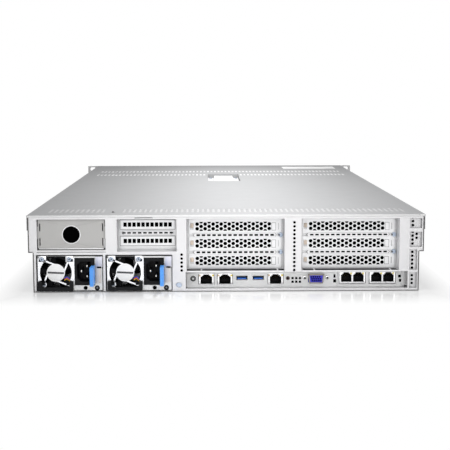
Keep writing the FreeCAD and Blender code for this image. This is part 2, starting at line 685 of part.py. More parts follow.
def make_network_jacks():
    """Seven jacks alike: a shell whose mouth has a key for the plug's catch."""
    body = new_body("network_jack")
    slab(body, "XZ", "-jack_proud", "jack_depth",
         [centred("0", "0", ("jack_width", "jack_height"))])
    half = "jack_mouth_width / 2"
    low = "-jack_mouth_height / 2"
    key = "jack_key_width / 2"
    small = "jack_key_width / 4"
    step = f"{low} - jack_key_height"
    mouth = [
        (f"-{key}", low), (f"-{key}", step), (f"-{small}", step),
        (f"-{small}", f"{step} - jack_key_height / 2"),
        (small, f"{step} - jack_key_height / 2"), (small, step), (key, step), (key, low),
        (half, low), (half, f"-({low})"), (f"-{half}", f"-({low})"), (f"-{half}", low),
    ]
    body.Tip = cut_slab(body, "XZ", "-jack_proud", "jack_mouth_depth", [mouth])
    height = f"{BOARD_TOP} + jack_height / 2"
    board = [(place(jack), RECESS, height) for jack in ("jack_one", "jack_two", "jack_three")]
    card = [(place(jack), RECESS, f"{height} + card_jack_rise") for jack in CARD_JACKS]
    return keep(place_shape("network_jacks", copies(body, board + card)))


def make_usb_ports():
    """Two flat sockets: a thin shell with the tongue inside it."""
    body = new_body("usb_port")
    slab(body, "XZ", "-jack_proud", "usb_depth",
         [centred("0", "0", ("usb_width", "usb_height"))])
    inside = centred("0", "0", ("usb_width - 2 * usb_wall", "usb_height - 2 * usb_wall"))
    cut_slab(body, "XZ", "-jack_proud", "usb_depth - 2 * usb_wall", [inside])
    tongue = rectangle("-usb_width / 2 + 3 * usb_wall", "usb_wall / 2",
                       "usb_width / 2 - 3 * usb_wall", "usb_wall / 2 + usb_tongue")
    slab(body, "XZ", "0", "usb_depth - jack_proud - usb_wall", [tongue])
    lead = rectangle("-usb_width / 2", "-usb_height / 2 - usb_rise",
                     "usb_width / 2", "-usb_height / 2")
    slab(body, "XZ", "usb_depth / 2", "usb_depth / 2 - jack_proud", [lead])
    height = f"{BOARD_TOP} + usb_rise + usb_height / 2"
    shapes = copies(body, [(place(port), RECESS, height) for port in ("usb_one", "usb_two")])
    return keep(place_shape("usb_ports", shapes))


def make_video_port():
    """Fifteen-way socket: a tapered shell proud of its flange, with two jack screws."""
    body = new_body("video_port")
    middle = place("video_place")
    half = "video_width / 2"
    high = "video_rise + video_height / 2"
    low = "video_rise - video_height / 2"
    shell = [
        (f"{middle} - {half} + video_taper", low), (f"{middle} + {half} - video_taper", low),
        (f"{middle} + {half}", high), (f"{middle} - {half}", high),
    ]
    slab(body, "XZ", f"{RECESS} - video_proud", "video_proud + wall", [shell])
    rim = "usb_wall"
    inner = [
        (f"{middle} - {half} + video_taper + 2 * {rim}", f"{low} + {rim}"),
        (f"{middle} + {half} - video_taper - 2 * {rim}", f"{low} + {rim}"),
        (f"{middle} + {half} - 2 * {rim}", f"{high} - {rim}"),
        (f"{middle} - {half} + 2 * {rim}", f"{high} - {rim}"),
    ]
    cut_slab(body, "XZ", f"{RECESS} - video_proud", "video_proud / 4", [inner])
    base = rectangle(f"{middle} - video_flange / 2", BOARD_TOP,
                     f"{middle} + video_flange / 2", "video_rise + video_height / 2 + wall")
    body.Tip = slab(body, "XZ", f"{RECESS} + wall", "usb_depth", [base])
    return keep(body)


def make_uid_button():
    """Round button behind the port plate, with a collar that stops it from falling out."""
    body = new_body("uid_button")
    middle = (place("button_place"), "button_rise")
    slab(body, "XZ", f"{RECESS} - button_travel", "button_length",
         circles=[(*middle, "button_radius")])
    slab(body, "XZ", f"{RECESS} + wall + gap", "button_travel",
         circles=[(*middle, "button_radius + 2 * gap")])
    return keep(body)


# The board and what stands on it


def make_motherboard():
    body = new_body("motherboard")
    supply_side = (f"{LEFT} + supply_left + supply_pitch + supply_width + wall + 2 * gap")
    supply_front = f"{REAR} + wall + supply_depth + gap"
    half = "(body_width / 2 - board_inset)"
    rear = f"({RECESS} + wall + gap)"
    front = f"({FAN_REAR} - board_fan_gap)"
    outline = [(supply_side, rear), (half, rear), (half, front), (f"-{half}", front),
               (f"-{half}", supply_front), (supply_side, supply_front)]
    slab(body, "XY", "wall + board_rise", "board_sheet", [outline])
    standoffs = [(f"{turn} * {half} * 0.8", f"{end} * 0.9", "3 * wall")
                 for turn in (-1, 1) for end in (front, "0 * wall")]
    standoffs.append((f"{half} * 0.8", f"{rear} * 0.9", "3 * wall"))
    slab(body, "XY", "wall", "board_rise", circles=standoffs)
    switch = rectangle(f"{place('button_place')} - 3", f"{RECESS} + 6.5",
                       f"{place('button_place')} + 3", f"{RECESS} + 10")
    slab(body, "XY", BOARD_TOP, "button_rise - board_rise", [switch])
    return keep(body)


def make_cpu_heatsinks():
    """Two finned blocks, each with its processor socket under it."""
    body = new_body("cpu_heatsink")
    half = "sink_side / 2"
    socket = rectangle(f"-{half} * 0.8", f"-{half} * 0.8", f"{half} * 0.8", f"{half} * 0.8")
    slab(body, "XY", "0", "socket_height", [socket])
    base = rectangle(f"-{half}", f"-{half}", half, half)
    slab(body, "XY", "socket_height", "sink_base", [base])
    fin = rectangle(f"-{half}", f"-{half}", f"-{half} + sink_fin", half)
    fins = slab(body, "XY", "socket_height + sink_base",
                "sink_height - socket_height - sink_base", [fin])
    row_of(fins, "H_Axis", "(sink_side - sink_fin) / (sink_fins - 1)", "sink_fins")
    shapes = copies(body, [(f"{turn} * sink_span / 2", INNER_MIDDLE, BOARD_TOP)
                           for turn in (-1, 1)])
    return keep(place_shape("cpu_heatsinks", shapes))


def make_memory_modules():
    """Four banks of upright modules, two beside each processor."""
    body = new_body("memory_module")
    slab(body, "XY", "0", "module_height",
         [rectangle("0", "0", "module_sheet", "module_length")])
    clear = "(sink_side / 2 + module_pitch)"
    run = "(modules_per_bank - 1) * module_pitch + module_sheet"
    count = int(value("modules_per_bank"))
    starts = []
    for turn in (-1, 1):
        starts += [f"{turn} * sink_span / 2 + {clear}",
                   f"{turn} * sink_span / 2 - {clear} - ({run})"]
    rear = f"{INNER_MIDDLE} - module_length / 2"
    places = [(f"{start} + {number} * module_pitch", rear, BOARD_TOP)
              for start in starts for number in range(count)]
    return keep(place_shape("memory_modules", copies(body, places)))


def make_air_shroud():
    """Hood that leads the fans' air over the processors."""
    body = new_body("air_shroud")
    half = "shroud_half"
    profile = [
        (f"-{half}", BOARD_TOP), (f"-{half} + shroud_sheet", BOARD_TOP),
        (f"-{half} + shroud_sheet", "shroud_top"), (f"{half} - shroud_sheet", "shroud_top"),
        (f"{half} - shroud_sheet", BOARD_TOP), (half, BOARD_TOP),
        (half, "shroud_top + shroud_sheet"), (f"-{half}", "shroud_top + shroud_sheet"),
    ]
    rear = f"{INNER_MIDDLE} - sink_side"
    slab(body, "XZ", rear, f"{FAN_REAR} - board_fan_gap - wall - ({rear})", [profile])
    return keep(body)

# Fans, drives and what carries them


FAN_HEIGHT = "wall + fan_side / 2"


def fan_place(number):
    return f"({number} - 1.5) * fan_pitch"


def make_fan_cage():
    """Bulkhead behind the fans with a round opening for each of them."""
    body = new_body("fan_cage")
    inside = f"({BODY_INSIDE} - gap)"
    wall_sheet = rectangle(f"-{inside}", "wall", inside, "wall + fan_side")
    slab(body, "XZ", f"{FAN_REAR} - wall", "wall", [wall_sheet])
    for side in (f"-{inside}", f"{inside} - wall"):
        post = rectangle(side, "wall", f"{side} + wall", "wall + fan_side")
        slab(body, "XZ", FAN_REAR, "fan_thick", [post])
    body.Tip = cut_slab(body, "XZ", f"{FAN_REAR} - wall", "wall", circles=[
        (fan_place(number), FAN_HEIGHT, "fan_bore_radius") for number in range(4)])
    return keep(body)


def make_fan_frame(label, side, thick, bore, hub, strut):
    """Square frame with its bore, and a hub held by slanted struts at the outlet face."""
    body = new_body(label)
    half = f"{side} / 2"
    slab(body, "XZ", "0", thick, [rectangle(f"-{half}", f"-{half}", half, half)])
    cut_slab(body, "XZ", "0", thick, circles=[("0", "0", bore)])
    arm = [(f"0.8 * {hub}", f"0.2 * {hub}"), (f"0.8 * {hub} + {strut}", f"0.2 * {hub}"),
           (f"0.8 * {bore} + {strut}", f"0.84 * {bore}"), (f"0.8 * {bore}", f"0.84 * {bore}")]
    ring_of(slab(body, "XZ", "0", strut, [arm]), "Y_Axis", 4)
    body.Tip = slab(body, "XZ", "0", strut, circles=[("0", "0", hub)])
    return body


def make_rotor(label, hub, tip, blades, depth):
    """Fan rotor about its own Y axis: a hub with slanted blades round it."""
    body = new_body(label)
    slab(body, "XZ", "0", depth, circles=[("0", "0", hub)])
    lean = f"0.32 * {hub}"
    chord = f"0.45 * {hub}"
    rear, front = f"0.04 * ({depth})", f"0.94 * ({depth})"
    blade = [(f"-{chord}", rear), (f"{lean} - 0.6 * {chord}", rear),
             (f"{chord} + {lean}", front), (chord, front)]
    root = f"0.7 * {hub}"
    blade_pad = slab(body, "XY", root, f"1.05 * {tip} - {root}", [blade])
    ring_of(blade_pad, "Y_Axis", blades)
    body.Tip = cut_slab(body, "XZ", "0", depth,
                        circles=[("0", "0", f"1.5 * {tip}"), ("0", "0", tip)])
    return body


def make_fans():
    frame = make_fan_frame("fan_frame", "fan_side", "fan_thick", "fan_bore_radius",
                           "fan_hub_radius", "2 * wall")
    shapes = copies(frame, [(fan_place(number), FAN_REAR, FAN_HEIGHT) for number in range(4)])
    keep(place_shape("fan_frames", shapes))
    rotor = make_rotor("fan_rotor", "fan_hub_radius", "fan_tip_radius", "fan_blades",
                       "fan_thick - 2 * wall - 2 * gap")
    doc.recompute()
    for number in range(4):
        keep(place_shape(f"fan_{number + 1}_rotor", rotor.Shape, (
            fan_place(number), f"{FAN_REAR} + 2 * wall + gap", FAN_HEIGHT)))


CARRIER_LOW = "wall + gap"
CAGE_DEPTH = "(drive_length + bezel_thick)"
CAGE_REAR = f"{FRONT} - {CAGE_DEPTH}"


def make_drive_cage():
    """Upright dividers with a shelf between each pair, a top plate and a vented strip."""
    side = f"({BODY_INSIDE} - gap)"
    guide = "(carrier_pitch - carrier_width - 2 * gap)"
    divider = new_body("cage_divider")
    slab(divider, "XZ", CAGE_REAR, CAGE_DEPTH, [rectangle(
        f"-{guide} / 2", "wall", f"{guide} / 2", f"{shelf_height(2)} - gap")])
    shelf = new_body("cage_shelf")
    slab(shelf, "XZ", CAGE_REAR, CAGE_DEPTH, [rectangle(
        f"{guide} / 2 + gap / 3", shelf_height(1), f"carrier_pitch - {guide} / 2 - gap / 3",
        f"{shelf_height(1)} + {guide}")])
    plate = new_body("cage_top_plate")
    slab(plate, "XZ", CAGE_REAR, CAGE_DEPTH, [rectangle(
        f"-{side}", shelf_height(2), side, f"{shelf_height(2)} + {guide}")])
    strip = new_body("cage_vent_strip")
    strip_low = f"{shelf_height(2)} + {guide} + gap"
    slab(strip, "XZ", f"{FRONT} - ear_sheet", "ear_sheet",
         [rectangle(f"-{side}", strip_low, side, WALL_TOP)])
    slot = rectangle(f"-{side} + strip_margin", f"{strip_low} + strip_rim",
                     f"-{side} + strip_margin + strip_slot", f"{WALL_TOP} - strip_rim")
    vents = cut_slab(strip, "XZ", f"{FRONT} - ear_sheet", "ear_sheet", [slot])
    row_of(vents, "H_Axis", f"(2 * {side} - 2 * strip_margin - strip_slot) / (strip_slots - 1)",
           "strip_slots")
    shapes = [copies(divider, [(f"{step} * carrier_pitch", "0 * wall", "0 * wall")
                               for step in range(-2, 3)]),
              copies(shelf, [(f"{step} * carrier_pitch", "0 * wall", "0 * wall")
                             for step in range(-2, 2)]), plate.Shape, strip.Shape]
    return keep(place_shape("drive_cage", Part.makeCompound(shapes)))


def shelf_height(row):
    return f"{CARRIER_LOW} + {row} * carrier_rise - carrier_rise + carrier_height + gap"


def make_drive_backplane():
    """Board behind the drives, with a connector block for each and air gaps between."""
    body = new_body("drive_backplane")
    side = f"({BODY_INSIDE} - gap)"
    face = rectangle(f"-{side}", "wall", side, f"{shelf_height(2)}")
    slab(body, "XZ", f"{CAGE_REAR} - gap - board_sheet", "board_sheet", [face])
    gap_slot = rectangle(f"-1.9 * carrier_pitch", "carrier_rise - 8",
                         f"-1.9 * carrier_pitch + 70", "carrier_rise")
    body.Tip = row_of(cut_slab(body, "XZ", f"{CAGE_REAR} - gap - board_sheet", "board_sheet",
                               [gap_slot]), "H_Axis", "carrier_pitch", 4)
    return keep(body)


def make_drives():
    """Eight carriers, each holding its drive behind a vented bezel, and their levers."""
    carrier = make_carrier()
    lever = make_carrier_lever()
    doc.recompute()
    number = 0
    for row in (0, 1):
        for column in range(4):
            number += 1
            base = (f"({column} - 1.5) * carrier_pitch", FRONT,
                    f"{CARRIER_LOW} + {row} * carrier_rise")
            keep(place_shape(f"drive_carrier_{number}", carrier.Shape, base))
            keep(place_shape(f"carrier_lever_{number}", lever.Shape, base))


def make_carrier():
    """Carrier from its bezel at the origin plane back to the far end of its drive."""
    body = new_body("drive_carrier")
    half = "carrier_width / 2"
    bezel = rectangle(f"-{half}", "0", half, "carrier_height")
    slab(body, "XZ", "-bezel_thick", "bezel_thick", [bezel])
    low = "(carrier_height - drive_height) / 2"
    drive = rectangle("-drive_width / 2", low, "drive_width / 2", f"{low} + drive_height")
    slab(body, "XZ", "-bezel_thick - drive_length + gap", "drive_length - gap", [drive])
    recess = rectangle(f"-{half} + 3 * wall", "(carrier_height - carrier_lever_height) / 2 - gap",
                       f"{half} - 8 * wall",
                       "(carrier_height + carrier_lever_height) / 2 + gap")
    cut_slab(body, "XZ", "-0.5 * bezel_thick", "0.5 * bezel_thick", [recess])
    pin = slab(body, "XY", "0", "carrier_height", circles=[
        (f"-{half} + 3 * wall + pin_radius + 4 * gap", "-0.25 * bezel_thick", "pin_radius")])
    body.Tip = pin
    return body


def make_carrier_lever():
    """Lever that lies in the bezel's recess and turns on the pin at its left end."""
    body = new_body("carrier_lever")
    half = "carrier_width / 2"
    low = "(carrier_height - carrier_lever_height) / 2"
    pin = (f"-{half} + 3 * wall + pin_radius + 4 * gap", "-0.25 * bezel_thick")
    eye = "pin_radius + 0.7"
    slab(body, "XY", low, "carrier_lever_height", circles=[(*pin, eye)])
    arm = rectangle(pin[0], f"{pin[1]} - 0.8", f"{pin[0]} + carrier_lever_width",
                    f"{pin[1]} + 0.8 + pin_radius")
    slab(body, "XY", low, "carrier_lever_height", [arm])
    slot = rectangle(f"{pin[0]} + 8", f"{low} + 3", f"{pin[0]} + 14",
                     f"{low} + carrier_lever_height - 3")
    row_of(cut_slab(body, "XZ", "-bezel_thick", "bezel_thick", [slot]), "H_Axis", 9, 8)
    body.Tip = cut_slab(body, "XY", low, "carrier_lever_height",
                        circles=[(*pin, "pin_radius + running_gap")])
    return body

# Power supplies: each is built about the lower left corner of its rear face

SUPPLY_LOW = "wall + gap"
SMALL_FAN = ("small_fan_left + small_fan_side / 2", "supply_height / 2")
LATCH_AXIS = ("latch_place", "(-latch_thick / 2 - 2 * gap)")
HANDLE_AXIS = ("(-handle_bar / 2 - 1)", "handle_rise")


def make_supply_case():
    """Case with pockets for fan and inlet, and two raised blocks beside the latch."""
    body = new_body("supply_case")
    slab(body, "XZ", "0", "supply_depth",
         [rectangle("0", "0", "supply_width", "supply_height")])
    fan = centred(*SMALL_FAN, ("small_fan_side + gap", "small_fan_side + gap"))
    inlet = rectangle("inlet_left - gap / 2", "inlet_low - gap / 2",
                      "inlet_left + inlet_width + gap / 2", "inlet_low + inlet_height + gap / 2")
    cut_slab(body, "XZ", "0", "small_fan_thick + gap", [fan])
    cut_slab(body, "XZ", "0", "inlet_depth + gap", [inlet])
    upper = rectangle("block_left", "block_split + gap", "supply_width - gap", "block_top")
    lower = rectangle("block_left", "block_low", "supply_width - block_step",
                      "block_split - gap")
    slab(body, "XZ", "-wall", "wall", [upper, lower])
    lamps = [("lamp_one", "lamp_rise", "lamp_radius"), ("lamp_two", "lamp_rise", "lamp_radius")]
    body.Tip = cut_slab(body, "XZ", "0", "3 * wall", circles=lamps)
    return body


def make_supply_inlet():
    """Power inlet stood on end round three pins, with lugs that hold the latch's pin."""
    body = new_body("supply_inlet")
    slab(body, "XZ", "0", "inlet_depth", [rectangle(
        "inlet_left", "inlet_low", "inlet_left + inlet_width", "inlet_low + inlet_height")])
    for low in ("latch_low - gap - wall", "latch_low + latch_height + gap"):
        lug = rectangle(f"{LATCH_AXIS[0]} - latch_thick / 2", f"{LATCH_AXIS[1]} - latch_thick / 2",
                        "inlet_left + inlet_width", "wall")
        slab(body, "XY", low, "wall", [lug])
    slab(body, "XY", "latch_low - gap", "latch_height + 2 * gap",
         circles=[(*LATCH_AXIS, "pin_radius")])
    left = "inlet_left + mouth_left"
    right = f"{left} + mouth_width"
    low = "inlet_low + mouth_low"
    top = f"{low} + mouth_height"
    cut = "mouth_width / 4"
    mouth = [
        (f"{left} + {cut}", low), (right, low), (right, top), (f"{left} + {cut}", top),
        (left, f"{top} - {cut}"), (left, f"{low} + {cut}"),
    ]
    cut_slab(body, "XZ", "0", "inlet_depth - wall - gap", [mouth])
    middle = (f"{left} + mouth_width / 2", f"{low} + mouth_height / 2")
    size = ("inlet_pin_width", "inlet_pin_height")
    pins = [centred(f"{middle[0]} + mouth_width / 5", f"{middle[1]} + {turn} * mouth_height / 4",
                    size) for turn in (-1, 1)]
    pins.append(centred(f"{middle[0]} - mouth_width / 5", middle[1], size))
    body.Tip = slab(body, "XZ", "2 * wall", "inlet_depth - 2 * wall", pins)
    return body


def make_supply_fan_frame():
    """Small fan frame with two lugs and pins on which the handle turns."""
    body = make_fan_frame("small_fan_frame", "small_fan_side", "small_fan_thick",
                          "small_bore_radius", "small_hub_radius", "1.3 * wall")
    drop = f"({HANDLE_AXIS[1]} - supply_height / 2)"
    for turn in (-1, 1):
        inner = f"(handle_shift + {turn} * (handle_width / 2 - handle_bar - gap - 1.2 * wall))"
        lug = rectangle(f"{inner} - 1.2 * wall", f"{drop} - handle_bar / 2",
                        f"{inner} + 1.2 * wall", f"{drop} + handle_bar / 2")
        slab(body, "XZ", f"{HANDLE_AXIS[0]} - handle_bar / 2",
             f"handle_bar / 2 - ({HANDLE_AXIS[0]})", [lug])
        start = f"{inner} - handle_bar / 2 + {turn} * (handle_bar / 2)"
        slab(body, "YZ", start, "handle_bar", circles=[(HANDLE_AXIS[0], drop, "pin_radius")])
    return body


def make_supply_handle():
    """Bail that hangs before the fan's lower edge and swings out to pull the supply."""
    body = new_body("supply_handle")
    middle = f"{SMALL_FAN[0]} + handle_shift"
    left = f"{middle} - handle_width / 2"
    right = f"{middle} + handle_width / 2"
    axis = HANDLE_AXIS[1]
    loop = [
        (left, axis), (left, "handle_low"), (right, "handle_low"), (right, axis),
        (f"{right} - handle_bar", axis), (f"{right} - handle_bar", "handle_low + handle_bar"),
        (f"{left} + handle_bar", "handle_low + handle_bar"), (f"{left} + handle_bar", axis),
    ]
    slab(body, "XZ", f"{HANDLE_AXIS[0]} - handle_bar / 2", "handle_bar", [loop])
    eyes = [left, f"{right} - handle_bar"]
    for eye in eyes:
        slab(body, "YZ", eye, "handle_bar", circles=[(*HANDLE_AXIS, "handle_bar / 2")])
    for eye in eyes:
        body.Tip = cut_slab(body, "YZ", eye, "handle_bar",
                            circles=[(*HANDLE_AXIS, "pin_radius + running_gap")])
    return body


def make_supply_latch():
    """Release tab on an upright pin, pressed sideways towards the handle."""
    body = new_body("supply_latch")
    half = "latch_thick / 2"
    slab(body, "XY", "latch_low", "latch_height", circles=[(*LATCH_AXIS, half)])
    tab = rectangle(f"{LATCH_AXIS[0]} - {half}", f"{LATCH_AXIS[1]} - latch_reach",
                    f"{LATCH_AXIS[0]} + {half}", LATCH_AXIS[1])
    slab(body, "XY", "latch_low", "latch_height", [tab])
    body.Tip = cut_slab(body, "XY", "latch_low", "latch_height",
                        circles=[(*LATCH_AXIS, "pin_radius + running_gap")])
    return body


def make_supplies():
    case = make_supply_case()
    inlet = make_supply_inlet()
    frame = make_supply_fan_frame()
    handle = make_supply_handle()
    latch = make_supply_latch()
    rotor = make_rotor("small_rotor", "small_hub_radius", "small_tip_radius", "small_blades",
                       "0.7 * small_fan_thick")
    doc.recompute()
    for number in (1, 2):
        left = f"{LEFT} + supply_left + {number - 1} * supply_pitch"
        corner = (left, REAR, SUPPLY_LOW)
        fan = (f"{left} + {SMALL_FAN[0]}", REAR, f"{SUPPLY_LOW} + {SMALL_FAN[1]}")
        behind = (fan[0], f"{REAR} + 1.3 * wall + gap", fan[2])
        for part, shape, base in (("case", case, corner), ("inlet", inlet, corner),
                                  ("fan_frame", frame, fan), ("rotor", rotor, behind),
                                  ("latch", latch, corner), ("handle", handle, corner)):
            keep(place_shape(f"supply_{number}_{part}", shape.Shape, base))


# Small moving parts and fasteners


def make_lid_lever():
    body = new_body("lid_lever")
    axis = (LEVER_AXIS_Y, LEVER_AXIS_Z)
    left = "pan_shift - lever_width / 2"
    plate = rectangle(left, axis[0], f"{left} + lever_width", f"{axis[0]} + lever_length")
    slab(body, "XY", f"{axis[1]} - lever_thick / 2", "lever_thick", [plate])
    slab(body, "YZ", left, "lever_width", circles=[(*axis, "lever_pin_radius + wall")])
    dish = rectangle(f"{left} + 2 * wall", f"{axis[0]} + 0.78 * lever_length",
                     f"{left} + lever_width - 2 * wall", f"{axis[0]} + 0.94 * lever_length")
    cut_slab(body, "XY", f"{axis[1]} + lever_thick / 6", "lever_thick / 3", [dish])
    body.Tip = cut_slab(body, "YZ", left, "lever_width",
                        circles=[(*axis, "lever_pin_radius + running_gap")])
    return keep(body)


def make_power_button():
    """Push button that passes through the right ear, with a collar behind it."""
    body = new_body("power_button")
    middle = ("ear_hole_span / 2", "0.7 * case_height")
    slab(body, "XZ", f"{FRONT} - 2 * ear_sheet", "2 * ear_sheet + button_travel",
         circles=[(*middle, "power_button_radius")])
    body.Tip = slab(body, "XZ", f"{FRONT} - ear_sheet - gap - wall", "wall",
                    circles=[(*middle, "power_button_radius + wall")])
    return keep(body)


def make_studs_and_screws():
    """Headed studs for the rails on the lower walls, and the screws of the rear."""
    stud = new_body("rail_stud")
    slab(stud, "YZ", "0", "stud_length", circles=[("0", "0", "0.65 * stud_radius")])
    slab(stud, "YZ", "stud_length - screw_height", "screw_height",
         circles=[("0", "0", "stud_radius")])
    doc.recompute()
    half = "body_width / 2"
    shapes = []
    for share in (-0.4, -0.05, 0.36):
        for turn in (0, 180):
            shape = stud.Shape.copy()
            shape.rotate(FreeCAD.Vector(), FreeCAD.Vector(0, 0, 1), turn)
            sign = 1 if turn == 0 else -1
            shape.translate(FreeCAD.Vector(value(f"{sign} * {half}"),
                                           value(f"{share} * case_depth"),
                                           value("ledge_height / 2")))
            shapes.append(shape)
    screw = new_body("case_screw")
    slab(screw, "XZ", "-screw_height", "screw_height", circles=[("0", "0", "screw_radius")])
    middle = f"{LEFT} + left_vent_column - screw_radius"
    right_of_bar = f"{LEFT} + riser_left + riser_width - 1.2 * screw_radius"
    bars = [f"slot_first + {step} * slot_pitch" for step in (0.5, 1.5)]
    places = [(middle, REAR, "3 * screw_radius")]
    places += [(f"{right_of_bar} + {side} * riser_pitch", f"{RECESS} - cover_sheet", bar)
               for side in (0, 1) for bar in bars]
    shapes.append(copies(screw, places))
    return keep(place_shape("rail_studs_and_screws", Part.makeCompound(shapes)))


def finish():
    """Check every object and write each sub-part to its own file."""
    doc.recompute()
    for item in doc.Objects:
        if "Invalid" in item.State or "Error" in item.State:
            raise RuntimeError(f"{item.Name} failed: {item.State}")
    os.makedirs("parts", exist_ok=True)
    for item in subparts:
        shape = item.Shape
        if shape.isNull() or not shape.isValid():
            raise RuntimeError(f"{item.Label} has no valid shape")
    for item in subparts:
        item.Shape.exportStep(os.path.join("parts", f"{item.Label}.step"))


make_chassis_tray()
make_rear_panel()
make_front_top_cover()
make_bay_blank_plate()
make_rack_ears()
make_lid()
make_lid_lever()
make_expansion()
make_io_bracket()
make_nic_bracket()
make_network_jacks()
make_usb_ports()
make_video_port()
make_uid_button()
make_motherboard()
make_cpu_heatsinks()
make_memory_modules()
make_air_shroud()
make_fan_cage()
make_fans()
make_drive_cage()
make_drive_backplane()
make_drives()
make_supplies()
make_power_button()
make_studs_and_screws()
finish()
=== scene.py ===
"""Dresses the rack server's solids in finishes and small fittings, in a pale studio."""

import logging
import math
from dataclasses import dataclass, field
from enum import Enum

import bmesh
import bpy
from mathutils import Matrix, Vector


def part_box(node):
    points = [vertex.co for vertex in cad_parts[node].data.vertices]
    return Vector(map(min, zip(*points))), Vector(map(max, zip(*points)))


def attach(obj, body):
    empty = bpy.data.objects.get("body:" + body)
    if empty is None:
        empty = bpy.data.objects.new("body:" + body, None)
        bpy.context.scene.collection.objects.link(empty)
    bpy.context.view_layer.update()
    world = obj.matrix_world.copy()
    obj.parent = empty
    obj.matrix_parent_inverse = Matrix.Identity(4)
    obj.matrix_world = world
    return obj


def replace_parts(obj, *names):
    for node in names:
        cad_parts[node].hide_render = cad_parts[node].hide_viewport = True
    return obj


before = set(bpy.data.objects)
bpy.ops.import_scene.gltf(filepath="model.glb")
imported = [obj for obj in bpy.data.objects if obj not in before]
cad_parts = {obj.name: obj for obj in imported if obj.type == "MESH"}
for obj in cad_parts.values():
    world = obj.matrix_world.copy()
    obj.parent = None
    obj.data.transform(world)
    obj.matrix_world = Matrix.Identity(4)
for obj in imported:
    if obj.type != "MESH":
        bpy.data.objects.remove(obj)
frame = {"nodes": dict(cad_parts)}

LOG = logging.getLogger("rack_server")
MM = 0.001
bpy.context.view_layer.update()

Colour = tuple[float, float, float]
Point = tuple[float, float, float]
Spot = tuple[float, float]
Band = tuple[float, float, float, float]


class Texture(Enum):
    """The surface detail that a finish shows close up."""

    ROLLED = "rolled sheet with a fine grain"
    PAINTED = "sprayed paint with a fine orange peel"
    MOULDED = "moulded plastic with an eroded skin"
    TURNED = "turned or drawn metal"
    BOARD = "circuit board with tracks under the mask"
    # HOLLOW stands for painted shade: a flat black for the darkness of an opening.
    HOLLOW = "a dark opening"
    LAMP = "a lit lens"


def add_node(tree: bpy.types.NodeTree, kind: str, **settings: object) -> bpy.types.Node:
    """Adds a node and sets its properties.

    Args:
        tree: Node tree that the node goes into.
        kind: Blender's name of the node type.
        settings: Property values of the node, by name.

    Returns:
        The new node.
    """
    node = tree.nodes.new(kind)
    for name, value in settings.items():
        setattr(node, name, value)
    return node


def set_inputs(node: bpy.types.Node, **values: object) -> bpy.types.Node:
    """Sets a node's inputs by name, with _ standing for a space in it.

    Args:
        node: Node whose inputs are set.
        values: A constant, or an output socket to link, for each input.

    Returns:
        The same node.
    """
    for name, value in values.items():
        socket = node.inputs[name.replace("_", " ")]
        if isinstance(value, bpy.types.NodeSocket):
            node.id_data.links.new(value, socket)
        else:
            socket.default_value = value
    return node


def add_sum(tree: bpy.types.NodeTree, operation: str, *values: object) -> bpy.types.NodeSocket:
    """Adds one sum to a node tree.

    Args:
        tree: Node tree that the sum goes into.
        operation: Blender's name of the sum, such as MULTIPLY_ADD.
        values: Its numbers or sockets, in order.

    Returns:
        The result's socket.
    """
    node = add_node(tree, "ShaderNodeMath", operation=operation)
    for value, socket in zip(values, node.inputs):
        if isinstance(value, bpy.types.NodeSocket):
            tree.links.new(value, socket)
        else:
            socket.default_value = value
    return node.outputs[0]


class Axis(Enum):
    """The direction that a round shape stands along."""

    X = "X"
    Y = "Y"
    Z = "Z"

    def turn(self) -> Matrix:
        """Gives the rotation that lays a shape from Z along this axis.

        Returns:
            The rotation's matrix.
        """
        turns = {Axis.X: Matrix.Rotation(math.radians(90.0), 4, "Y"),
                 Axis.Y: Matrix.Rotation(math.radians(-90.0), 4, "X"),
                 Axis.Z: Matrix.Identity(4)}
        return turns[self]


